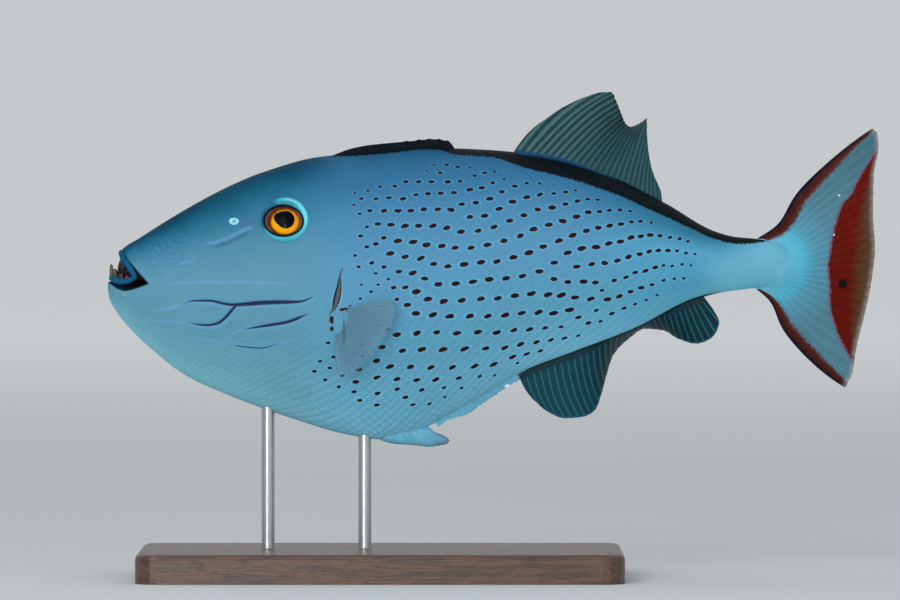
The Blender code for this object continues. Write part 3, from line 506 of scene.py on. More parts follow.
class Piece:
    """One piece of the model, which each kind of piece shapes and dresses in its own way."""

    name: str
    slot: Slot
    nodes: tuple[str, ...]

    def shape(self) -> BMesh:
        """Its form in millimetres."""
        raise NotImplementedError

    def dress(self, mesh: Mesh) -> None:
        """Stores the fields that its finish reads. A plain piece has none."""

    def build(self, material: Material) -> Object:
        """Makes the piece.

        Args:
            material: Its finish.

        Returns:
            The piece, tied to the frame.
        """
        obj = new_mesh(self.name, self.shape())
        self.dress(obj.data)
        return finish_piece(obj, material, self.slot, *self.nodes)


def colour(red: float, green: float, blue: float) -> tuple[float, ...]:
    """A colour as it shows on a screen, from 0 to 255, made linear for the shader."""
    return *(part / 12.92 if part <= 0.04045 else ((part + 0.055) / 1.055) ** 2.4
        for part in (red / 255.0, green / 255.0, blue / 255.0)), 1.0


def math_node(operation: str, turned: bool = False) -> Callable[..., "Shade"]:
    """Makes a method of a socket.

    Args:
        operation: What a Math node works out of the socket and the other values.
        turned: Whether the other value comes first.

    Returns:
        The method, which adds the node.
    """
    def method(shade: "Shade", *others: object) -> "Shade":
        values = (*others, shade) if turned else (shade, *others)
        return shade.paint.shade("Math", {"operation": operation}, dict(enumerate(values)))
    return method


class Shade:
    """A socket of a material. Arithmetic on it adds the nodes that work it out."""

    def __init__(self, paint: "Paint", socket: NodeSocket) -> None:
        """Wraps a socket of the paint's node tree."""
        self.paint, self.socket = paint, socket

    __add__ = __radd__ = math_node("ADD")
    __sub__, __rsub__ = math_node("SUBTRACT"), math_node("SUBTRACT", True)
    __mul__ = __rmul__ = math_node("MULTIPLY")
    __truediv__, __pow__, __abs__ = math_node("DIVIDE"), math_node("POWER"), math_node("ABSOLUTE")
    most, wave, root, nearest = map(math_node, ("MAXIMUM", "SINE", "SQRT", "ROUND"))

    def hypot(self, other: "Shade") -> "Shade":
        """Length of a vector with the two as its parts."""
        return (self * self + other * other).root()

    def to_nearest(self) -> "Shade":
        """Distance from the nearest whole number, 0 to 0.5."""
        return abs(self - self.nearest())

    def fade(self, low: float, high: float) -> "Shade":
        """A soft step from 0 at low to 1 at high."""
        return self.paint.shade("MapRange", {"interpolation_type": "SMOOTHSTEP"},
            {0: self, 1: low, 2: high, 3: 0.0, 4: 1.0})

    def within(self, low: float, high: float) -> "Shade":
        """A soft step from 1 at low to 0 at high."""
        return 1.0 - self.fade(low, high)


class Paint:
    """A material that is built node by node round one Principled shader."""

    def __init__(self, name: str, specular: float = 0.5, **constants: float) -> None:
        """Starts the material.

        Args:
            name: The material's name.
            specular: The level of its bare shine.
            constants: Values of the shader's sockets that are the same all over, _ for a space.
        """
        self.material = bpy.data.materials.new(name)
        self.material.use_nodes = True
        self.tree = self.material.node_tree
        self.shader = self.tree.nodes["Principled BSDF"]
        constants["Specular_IOR_Level"] = specular
        for socket, value in constants.items():
            self.shader.inputs[socket.replace("_", " ")].default_value = value
        self.where = self.shade("VectorMath", {"operation": "SCALE"}, {
            0: self.shade("TexCoord", {}, {}, "Object"), "Scale": 1.0 / MM})
        self.x, self.y, self.z = self.parts(self.where)

    def node(self, kind: str, settings: dict, inputs: dict) -> Node:
        """Adds a node.

        Args:
            kind: The node's type, without the words that all types start with.
            settings: Its own settings, set first. "stops" holds a ramp's places and colours.
            inputs: Values or links of its sockets, by number or name.

        Returns:
            The node.
        """
        node = self.tree.nodes.new("ShaderNode" + kind)
        for name, value in settings.items():
            if name == "stops":
                ramp = node.color_ramp
                while len(ramp.elements) < len(value):
                    ramp.elements.new(0.5)
                for element, (place, tone) in zip(ramp.elements, value):
                    element.position, element.color = place, colour(*tone)
            else:
                setattr(node, name, value)
        for name, value in inputs.items():
            if isinstance(value, Shade):
                self.tree.links.new(value.socket, node.inputs[name])
            else:
                node.inputs[name].default_value = value
        return node

    def shade(self, kind: str, settings: dict, inputs: dict, output: int | str = 0) -> Shade:
        """Adds a node, as node() does, and gives one of its outputs."""
        return Shade(self, self.node(kind, settings, inputs).outputs[output])

    def parts(self, vector: Shade) -> tuple[Shade, Shade, Shade]:
        """The three numbers of a vector."""
        node = self.node("SeparateXYZ", {}, {0: vector})
        return tuple(Shade(self, node.outputs[k]) for k in range(3))

    def number(self, name: str) -> Shade:
        """A number stored on the mesh's points."""
        return self.shade("Attribute", {"attribute_name": name}, {}, "Fac")

    def grid(self) -> tuple[Shade, Shade]:
        """Where the point came from in the unit form that was bent into the piece."""
        return self.parts(self.shade("Attribute", {"attribute_name": "grid"}, {}, "Vector"))[:2]

    def pair(self, name: str) -> tuple[Shade, Shade]:
        """The two numbers of one of the mesh's maps."""
        return self.parts(self.shade("UVMap", {"uv_map": name}, {}))[:2]

    def noise(self, scale: float, detail: float = 3.0, stretch: tuple | None = None) -> Shade:
        """Soft noise from 0 to 1: patches a millimetre, finer layers, factors on x, y and z."""
        where = self.shade("Mapping", {}, {0: self.where, 3: stretch}) if stretch else self.where
        return self.shade("TexNoise", {}, {"Vector": where, "Scale": scale, "Detail": detail})

    def ramp(self, value: Shade, stops: tuple) -> Shade:
        """A colour read from stops of (place, screen colour)."""
        return self.shade("ValToRGB", {"stops": stops}, {0: value})

    def mix(self, share: Shade, first: object, second: object) -> Shade:
        """From the first colour to the second by a share."""
        inputs = {0: share}
        for socket, tone in ((6, first), (7, second)):
            inputs[socket] = tone if isinstance(tone, Shade) else colour(*tone)
        return self.shade("Mix", {"data_type": "RGBA"}, inputs, 2)

    def layers(self, tone: object, *layers: tuple) -> Shade:
        """A colour with others laid over it in turn, each given as (share, colour)."""
        for share, over in layers:
            tone = self.mix(share, tone, over)
        return tone

    def lit(self, tone: Shade, factor: Shade) -> Shade:
        """A colour made lighter or darker by a factor."""
        return self.shade("VectorMath", {"operation": "SCALE"}, {0: tone, "Scale": factor})

    def ellipse(self, shape: tuple) -> Shade:
        """Distance from an ellipse's middle in radii of it, as round_distance()."""
        middle_x, middle_z, along, upward = shape
        return ((self.x - middle_x) / along).hypot((self.z - middle_z) / upward)

    def tail_base(self) -> Shade:
        """The blue that the stalk's end and the tail fin's base share, brighter at its rim."""
        return self.mix(self.ellipse(TAIL_BASE).fade(0.3, 0.95), (102, 170, 196), (80, 172, 198))

    def bump(self, height: Shade, depth: float) -> Shade:
        """A normal for a fine relief, from 0 to 1, whose 1 stands for a depth in millimetres."""
        return self.shade("Bump", {}, {"Strength": 1.0, "Distance": depth * MM, "Height": height})

    def done(self, **inputs: Shade) -> Material:
        """Links the shader's varying sockets, named with _ for a space."""
        for name, value in inputs.items():
            self.tree.links.new(value.socket, self.shader.inputs[name.replace("_", " ")])
        return self.material

    def satin(self, tone: Shade, grain: Shade, rough: tuple[float, float], relief: Shade,
            depth: float, **others: Shade) -> Material:
        """Ends a material. rough has the roughness where the grain is 0, and what 1 adds to it."""
        return self.done(Base_Color=tone, Roughness=grain * rough[1] + rough[0],
            Normal=self.bump(relief, depth), **others)


@dataclass(frozen=True)
class SkinFinish:
    """Blue scaled skin with its spots, lines, black band, eye rings and nostril."""

    # Colours by height, from the belly at 0 to the back at 1: the fish's own darker back and paler belly,
    # with painted shade darkening the top edge and painted light brightening the lowest stops of head and
    # trunk, where the belly faces down.
    head: tuple = ((0.0, (124, 190, 204)), (0.12, (104, 164, 180)), (0.3, (89, 146, 167)),
        (0.56, (88, 143, 165)), (0.72, (74, 130, 156)), (0.86, (40, 106, 136)),
        (0.95, (2, 76, 102)), (1.0, (0, 54, 76)))
    trunk: tuple = ((0.0, (126, 196, 222)), (0.10, (106, 174, 204)), (0.25, (91, 155, 183)),
        (0.6, (83, 141, 176)), (0.76, (70, 128, 165)), (0.87, (54, 112, 150)),
        (0.95, (42, 100, 138)), (1.0, (26, 86, 122)))
    rear: tuple = ((0.0, (98, 172, 198)), (0.2, (78, 152, 184)), (0.62, (80, 152, 186)),
        (0.8, (48, 116, 146)), (1.0, (30, 90, 120)))
    stalk: tuple = ((0.0, (108, 182, 206)), (0.4, (104, 174, 200)), (0.7, (80, 150, 178)),
        (0.9, (54, 126, 154)), (1.0, (38, 102, 132)))
    spot: tuple = (50, 17, 9)
    spot_edge: tuple = (18, 12, 20)
    halo: tuple = (108, 176, 212)
    band: tuple = (9, 18, 23)
    line: tuple = (30, 27, 54)
    pale_line: tuple = (96, 150, 200)

    def build(self) -> Material:
        """The material, which the skin and its scales share."""
        paint = Paint("scaled_blue_skin", 0.05)
        x, grain, cloud = paint.x, paint.noise(1.3, 4.0), paint.noise(0.07)
        level = paint.number("height") + (cloud - 0.5) * 0.10
        head, trunk, rear, stalk = (paint.ramp(level, stops) for stops in (self.head, self.trunk,
            self.rear, self.stalk))
        tone = paint.layers(head, (x.fade(-66.0, -44.0), trunk), (x.fade(20.0, 60.0), rear),
            (x.fade(60.0, 76.0), stalk), (x.fade(68.0, 84.0), paint.tail_base()))
        for dress in (self._snout, self._spots, self._lines, self._back, self._eye, self._small):
            tone = dress(paint, tone)
        tone = paint.lit(tone, (grain - 0.5) * 0.22 + (cloud - 0.5) * 0.12 + 1.0)
        relief = grain * 0.6 + paint.noise(4.5, 2.0) * 0.4
        return paint.satin(tone, grain, (0.36, 0.22), relief, 0.10)

    def _snout(self, paint: Paint, tone: Shade) -> Shade:
        """Fine pale wrinkles over the snout and the upper cheek."""
        cloud = paint.noise(0.11, 3.0, (0.45, 1.0, 1.5))
        wrinkle = (cloud * 15.0).to_nearest().within(0.04, 0.24)
        where = paint.ellipse((-100.0, 98.0, 18.0, 12.0)).within(0.35, 1.0)
        return paint.mix(wrinkle * where * 0.15, tone, (112, 166, 214))

    def _spots(self, paint: Paint, tone: Shade) -> Shade:
        """Dark spots with pale rings, read from the map of spots."""
        across, up = paint.pair("Spots")
        off = across.hypot(up) + (paint.noise(0.9, 2.0) - 0.5) * 0.75
        tone = paint.mix(off.within(1.0, 2.1) * 0.2, tone, self.halo)
        tone = paint.lit(tone, off.within(1.0, 1.9) * 0.18 + 1.0)
        dark = paint.mix(off.fade(0.35, 0.95), self.spot, self.spot_edge)
        return paint.mix(off.within(0.86, 1.16), tone, dark)

    def _lines(self, paint: Paint, tone: Shade) -> Shade:
        """Dark grooves with pale edges, and pale lines, read from the map of lines."""
        distance, half = paint.pair("Lines")
        dark, pale = half.most(0.0), (half * -1.0).most(0.0)
        past, past_pale = abs(distance) - dark, abs(distance) - pale
        lead = dark.fade(0.02, 0.18)
        return paint.layers(tone, (past.within(0.15, 1.3) * lead * 0.42, self.pale_line),
            (past.within(-0.22, 0.16) * lead * 0.94, self.line),
            (past_pale.within(-0.15, 0.5) * pale.fade(0.02, 0.2) * 0.42, (104, 158, 210)))

    def _back(self, paint: Paint, tone: Shade) -> Shade:
        """The bands along the back and the belly, and the bright line under the dorsal fin."""
        x, depth, height = paint.x, paint.number("depth"), paint.number("height")
        rise = depth * height / (1.0 - height + 0.001)
        belly = rise.within(0.45, 0.85) * x.fade(6.0, 12.0) * x.within(64.0, 72.0)
        band = paint.number("band") + (paint.noise(1.1, 2.0, (1.6, 1.0, 0.5)) - 0.5) * 1.3
        base = depth.within(0.3, 0.7) * x.fade(5.5, 8.0) * x.within(33.0, 40.0)
        return paint.layers(tone, (belly, (8, 26, 34)), (band.fade(-0.2, 0.3), self.band),
            (base, (30, 78, 116)))

    def _eye(self, paint: Paint, tone: Shade) -> Shade:
        """The bright ring round the eye, open at its front, and the lids' dark edge. The ring is lighter
        towards its upper right as a painted highlight and darker inside its upper part as painted shade;
        painted shadow lies in front of the eye, and the lids' dark edge is painted shadow.
        """
        opening, outer = paint.ellipse(EYE_OPENING), paint.ellipse(EYE_RING)
        across, up = paint.x - EYE_OPENING[0], paint.z - EYE_OPENING[1]
        away = across.hypot(up) + 0.01
        front, bright, above = ((across * right + up * rise) / away for right, rise in
            ((-0.885, 0.466), (0.80, 0.60), (-0.10, 0.995)))
        ring = outer.within(0.93, 1.03) * front.within(0.57, 0.88)
        # The ring's own cyan, lighter towards its upper right as a painted highlight.
        cyan = paint.mix(bright.fade(0.35, 0.95) + (paint.noise(0.7) - 0.5) * 0.7, (66, 180, 200),
            (104, 210, 218))
        # Painted shade on the upper part of the ring, just inside its raised edge.
        hollow_shade = above.fade(0.35, 0.9) * (outer - 0.82).within(0.0, 0.07) * 0.9
        lid = opening.within(1.10, 1.2) * above.fade(0.1, 0.6) * 0.85
        shadow = opening.within(1.03, 1.26) * front.fade(0.45, 0.85) * 0.9
        # Painted shadow in front of the eye, and the lids' dark edge painted as their shadow.
        return paint.layers(tone, (ring, cyan), (hollow_shade * ring, (58, 126, 146)), (lid, (16, 132, 146)),
            (shadow, (4, 52, 80)), (opening.within(1.02, 1.09), (8, 16, 22)))

    def _small(self, paint: Paint, tone: Shade) -> Shade:
        """The nostril, gill slit, folds under the pectoral fin, and painted shade along the groove before
        the eye, in the mouth and in its creases.
        """
        nostril, slit, wedge = paint.ellipse(NOSTRIL), paint.number("slit"), paint.number("wedge")
        trail = paint.ellipse((-75.5, 110.2, 5.0, 2.2)).within(0.1, 1.0) * 0.5
        # Painted shade along the groove in front of the eye.
        groove = paint.number("groove").within(0.1, 1.1) * 0.55
        tone = paint.layers(tone, (trail, (74, 96, 132)), (groove, (44, 88, 112)),
            (nostril.within(0.9, 1.2), (160, 216, 226)), (nostril.within(0.25, 0.6) * 0.8, (96, 142, 166)),
            (slit.within(1.2, 1.9) * 0.5, (122, 186, 216)), (slit.within(0.95, 1.2), (20, 30, 42)),
            (slit.within(0.35, 0.9), (96, 102, 106)))
        for fold in ((-46.1, 83.6, 1.7, 0.65), (-50.0, 80.4, 0.75, 1.25), (-50.0, 77.6, 0.65, 0.9)):
            off = paint.ellipse(fold) + (paint.noise(0.9, 2.0) - 0.5) * 0.8
            tone = paint.mix(off.within(0.7, 1.1), tone, (50, 24, 20))
        chin = paint.ellipse((-114.4, 88.0, 1.2, 0.8)).within(0.4, 1.0) * 0.5
        # Painted shade: the mouth's outline darkened as its creases, and near black inside the open mouth.
        return paint.layers(tone, (chin, (142, 150, 162)), (wedge.within(0.0, 0.45), (6, 44, 68)),
            (wedge.within(-0.35, 0.1), (9, 10, 16)))


@dataclass(frozen=True)
class LipFinish:
    """Dark teal lips with a lighter blue streak."""

    deep: tuple = (0, 64, 92)
    light: tuple = (28, 108, 156)

    def build(self) -> Material:
        """The material."""
        paint = Paint("wet_lip", 0.05)
        grain, (_, around) = paint.noise(1.2, 4.0), paint.grid()
        streak = abs(around - 0.62).within(0.05, 0.2) * 0.5 + paint.noise(0.35, 2.0) * 0.6
        tone = paint.mix(streak + (grain - 0.5) * 0.5, self.deep, self.light)
        return paint.satin(tone, grain, (0.3, 0.2), grain, 0.12)


@dataclass(frozen=True)
class ToothFinish:
    """Old ivory, stained olive towards the tips, darker further back in the mouth, and dark blue highest
    up and furthest back.
    """

    root: tuple = (72, 58, 48)
    worn: tuple = (82, 82, 60)

    def build(self) -> Material:
        """The material."""
        paint = Paint("stained_tooth", 0.25)
        grain = paint.noise(1.6, 4.0)
        level = (paint.z - 93.0) * 0.28 + (grain - 0.5) * 0.9
        tone = paint.layers(self.root, (level.fade(0.15, 0.6), self.worn),
            (paint.x.fade(-117.4, -115.6) * 0.8, (44, 40, 44)),
            ((level + (paint.x + 115.5) * 0.25).fade(0.75, 1.0), (6, 34, 52)))
        return paint.satin(tone, grain, (0.25, 0.2), grain, 0.08)


@dataclass(frozen=True)
class GumFinish:
    """Wet flesh inside the mouth, darkened as painted shade of the mouth's inside: blue-black above and
    purple-brown below.
    """

    def build(self) -> Material:
        """The material."""
        paint = Paint("dark_gum", 0.1)
        grain = paint.noise(1.1, 4.0)
        tone = paint.layers((30, 22, 30), (grain.fade(0.35, 0.65), (62, 40, 46)),
            ((paint.z + grain * 2.0).fade(96.0, 97.4), (4, 28, 44)))
        return paint.satin(tone, grain, (0.3, 0.3), grain, 0.3)


@dataclass(frozen=True)
class EyeFinish:
    """A glossy eye: egg-shaped black pupil, gold iris and a brown outer ring."""

    pupil: tuple = (2, 9, 18)
    gold: tuple = (226, 138, 6)
    yellow: tuple = (232, 162, 18)
    brown: tuple = (84, 40, 20)
    rim: tuple = (118, 98, 98)

    def build(self) -> Material:
        """The material."""
        paint = Paint("glossy_eye", 0.02, Coat_Weight=0.035, Coat_Roughness=0.04)
        grain = paint.noise(2.2, 4.0)
        middle_x, middle_z = EYE_OPENING[:2]
        across, up = paint.x - (middle_x + 0.70), paint.z - (middle_z + 0.43)
        away = across.hypot(up) + 0.001
        point = ((across * -0.966 + up * 0.259) / away * 0.5 + 0.5) ** 12.0
        pupil = (away / (point * 1.1 + 2.72) + (grain - 0.5) * 0.05).within(0.96, 1.04)
        iris = paint.ellipse((middle_x + 0.44, middle_z - 0.22, 4.35, 3.8)) + (grain - 0.5) * 0.25
        opening = paint.ellipse(EYE_OPENING)
        # The iris's own gold, with a painted highlight making it yellower towards its lower left.
        low = (up + across * 0.35).within(-2.8, 1.0) * 0.9 + (grain - 0.5) * 0.5
        gold = paint.layers(self.gold, (low, self.yellow), (up.fade(2.2, 3.9) * 0.5, (190, 96, 12)))
        sideways = abs(paint.x - middle_x) / 5.0
        rim = (opening + (grain - 0.5) * 0.3).fade(0.80, 0.92) * sideways.fade(0.6, 0.95) * 0.8
        # Painted shadow of the lids: the eyeball's edge goes near black, wider at the top.
        outer = paint.layers(self.brown, (rim, self.rim),
            ((opening + up * 0.008).fade(0.92, 1.0), (10, 14, 18)))
        tone = paint.layers(gold, (iris.fade(0.86, 1.08), outer), (pupil, self.pupil))
        return paint.satin(tone, grain, (0.22, 0.1), grain, 0.02)


@dataclass(frozen=True)
class MembraneFinish:
    """A thin fin: rays, the skin between them, and a strip along the base.

    Each colour is a screen colour. clear is how much light passes between the rays, joints how
    many a ray has, and soft over how many millimetres the fin fades out at its edge.
    """

    name: str
    ray: tuple
    web: tuple
    late_web: tuple
    base: tuple
    rays: int
    base_reach: float = 2.0
    base_end: float = 200.0
    clear: float = 0.2
    ray_half: float = 0.2
    joints: float = 46.0
    soft: float = 0.01
    # fold: middle and radii of the fin's fold, where painted shade darkens it.
    fold: tuple | None = None

    def build(self) -> Material:
        """The material."""
        paint = Paint(self.name, 0.04)
        u, v = paint.grid()
        grain, trail = paint.noise(0.9, 4.0), paint.number("trail")
        place = u * float(self.rays - 1)
        between = place.to_nearest().fade(self.ray_half - 0.08, self.ray_half + 0.1)
        fine = (place * 6.0).to_nearest() * 2.0
        web = paint.mix(u.fade(0.15, 0.5), self.web, self.late_web)
        tone = paint.mix(between + (grain - 0.5) * 0.3, self.ray, web)
        tone = paint.lit(tone, fine * 0.16 + (grain - 0.5) * 0.3 + 0.92)
        reach = paint.number("reach") + (grain - 0.5) * self.base_reach * 0.5
        base = reach.within(self.base_reach * 0.5, self.base_reach) \
            * paint.x.within(self.base_end - 4.0, self.base_end + 2.0)
        tone = paint.layers(tone, ((trail + (grain - 0.5)).within(0.15, 0.9) * 0.6, self.ray),
            (base, self.base))
        if self.fold:
            # Painted shade in the fin's fold.
            crease = paint.ellipse(self.fold).within(0.3, 1.0) * 0.6
            tone = paint.mix(crease, tone, (40, 62, 72))
        seen = 1.0 - (between * 0.6 + 0.4) * (1.0 - base) * self.clear
        seen = seen * ((trail + grain * self.soft) / self.soft).fade(-0.1, 1.4)
        joints = (v * self.joints).to_nearest() * (1.0 - between)
        return paint.satin(tone, grain, (0.38, 0.2), joints * 0.7 + grain * 0.5, 0.10, Alpha=seen)


@dataclass(frozen=True)
class TailFinish:
    """The tail fin: bright blue base, pale middle, red crescent and dark edges."""

    pale_up: tuple = (60, 100, 112)
    pale: tuple = (76, 122, 138)
    pale_base: tuple = (84, 148, 172)
    red: tuple = (98, 16, 6)
    olive: tuple = (74, 48, 30)
    navy: tuple = (14, 20, 36)
    maroon: tuple = (62, 24, 20)
    rust: tuple = (82, 36, 27)

    def build(self) -> Material:
        """The material."""
        paint = Paint("red_tail", 0.04)
        u, v = paint.grid()
        grain, cloud, trail = paint.noise(0.9, 4.0), paint.noise(0.2), paint.number("trail")
        ray = u * float(TAIL_RAYS - 1)
        nearest = ray.to_nearest()
        streak, fine = ((ray * finer).to_nearest() * 2.0 for finer in (4.0, 9.0))
        off = paint.ellipse(TAIL_BASE) + (grain - 0.5) * 0.15 + (streak - 0.5) * 0.16
        near_base = off.within(0.80, 1.10)
        inside = paint.number("crescent") + (grain - 0.5) * 1.2 + (streak - 0.5) * 0.5
        past = inside / (inside + trail + 0.01)
        red = paint.layers(self.red, ((past + (cloud - 0.5) * 0.3).fade(0.45, 0.85), self.olive),
            ((nearest - 0.25).fade(0.0, 0.25) * 0.45, (64, 20, 14)),
            (fine * past.fade(0.45, 0.95) * 0.5, (112, 84, 58)))
        rim = paint.number("edge") + (grain - 0.5) * 0.45 + (cloud - 0.5) * 0.3
        dot = paint.ellipse((108.3, 91.2, 1.6, 1.6)) + (grain - 0.5) * 0.3
        tone = paint.layers(self.pale, ((paint.z + cloud * 6.0).fade(113.0, 139.0), self.pale_up),
            (streak.within(0.0, 0.6) * 0.25, (118, 166, 182)), (off.within(0.95, 1.7), self.pale_base),
            (near_base, paint.tail_base()), (abs(inside + 0.1).within(0.1, 0.7) * 0.6, (120, 66, 112)),
            (inside.fade(-0.1, 0.5), red), (rim.within(0.75, 1.15), self.rust),
            (rim.within(0.35, 0.8), self.maroon), (rim.within(0.12, 0.3), self.navy),
            (dot.within(0.6, 1.15) * 0.94, (6, 8, 12)), *((paint.ellipse(speck).within(0.4, 1.0),
            (226, 236, 240)) for speck in ((107.0, 118.6, 0.45, 0.45), (105.4, 106.4, 0.4, 0.4))))
        tone = paint.lit(tone, (grain - 0.5) * 0.3 + (0.5 - nearest) * 0.12 + 0.97)
        seen = 1.0 - trail.within(0.0, 2.6) * (fine * 0.5 + 0.25) \
            - nearest.fade(0.15, 0.4) * (1.0 - near_base) * 0.05
        joints = (v * 60.0).to_nearest() * (0.5 - nearest)
        return paint.satin(tone, grain, (0.36, 0.2), joints + grain * 0.5, 0.12, Alpha=seen)


@dataclass(frozen=True)
class KeelFinish:
    """Rough blue-grey skin of the pelvic spine and of the flap behind it."""

    base: tuple = (116, 184, 210)
    dark: tuple = (92, 158, 186)

    def build(self) -> Material:
        """The material."""
        paint = Paint("rough_keel", 0.06)
        grain, cloud, x = paint.noise(1.5, 5.0), paint.noise(0.25), paint.x
        # The flap behind the spine is darker, partly its own tone and partly painted shade that meets the
        # belly's shaded lower edge.
        tone = paint.layers(self.dark, ((grain * 0.7 + cloud * 0.5 - 0.25).fade(0.25, 0.6), self.base),
            (x.fade(-21.0, -15.0) * paint.z.within(44.5, 46.0) * 0.6, (92, 110, 140)),
            (x.fade(-20.0, -4.0) * 0.35, (86, 142, 166)), (paint.ellipse((4.3, 59.4, 1.1, 0.8)).within(0.5,
            1.1), (222, 232, 238)))
        return paint.satin(tone, grain, (0.42, 0.25), grain, 0.14)


@dataclass(frozen=True)
class SpineFinish:
    """Matt black granular skin of the folded first dorsal fin."""

    def build(self) -> Material:
        """The material."""
        paint = Paint("black_spines", 0.06)
        grain = paint.noise(1.4, 5.0)
        tone = paint.mix(grain.fade(0.45, 0.8), (6, 14, 20), (26, 38, 46))
        return paint.satin(tone, grain, (0.45, 0.3), grain, 0.35)


@dataclass(frozen=True)
class WoodFinish:
    """Dark oiled wood with long grain."""

    def build(self) -> Material:
        """The material."""
        paint = Paint("oiled_walnut", Coat_Weight=0.25, Coat_Roughness=0.3)
        long_grain = paint.noise(0.5, 5.0, (0.07, 1.0, 1.0))
        rings = (long_grain * 26.0).wave() * 0.5 + 0.5
        pores = paint.noise(3.0, 3.0, (0.08, 1.0, 1.0)).fade(0.55, 0.75)
        tone = paint.layers((52, 32, 22), (rings * 0.6 + long_grain * 0.4, (96, 62, 42)),
            (pores * 0.6, (34, 20, 14)))
        return paint.done(Base_Color=tone, Roughness=rings * 0.12 + pores * 0.2 + 0.34,
            Normal=paint.bump(rings * 0.3 + (1.0 - pores), 0.06))


@dataclass(frozen=True)
class SteelFinish:
    """Brushed steel rods."""

    def build(self) -> Material:
        """The material."""
        paint = Paint("brushed_steel", Metallic=1.0)
        brush = paint.noise(6.0, 3.0, (1.0, 1.0, 0.04))
        tone = paint.mix(brush, (150, 152, 156), (196, 198, 200))
        return paint.satin(tone, brush, (0.22, 0.25), brush, 0.02)


@dataclass(frozen=True)
class FloorFinish:
    """A plain pale floor."""

    def build(self) -> Material:
        """The material."""
        paint = Paint("pale_floor", 0.0)
        far = (paint.x.hypot(paint.y) + paint.noise(0.004, 2.0) * 200.0).fade(300.0, 3500.0)
        return paint.done(Base_Color=paint.mix(far, (212, 215, 216), (255, 255, 255)),
            Roughness=far * 0.1 + 0.7)


@dataclass(frozen=True)
class SpotRow:
    """A row of spots, smaller towards its ends.

    front and rear are how many spots the ends take to grow to full size, and tilt is in degrees.
    """

    size: float
    front: float
    rear: float
    tilt: float
    points: tuple

    def sizes(self) -> Array:
        """The sizes of its spots, from 0 to about 1."""
        k = np.arange(len(self.points))
        grown = np.minimum((k + 1) / self.front, (len(k) - k) / self.rear)
        return self.size * (0.42 + 0.58 * np.minimum(grown, 1.0))


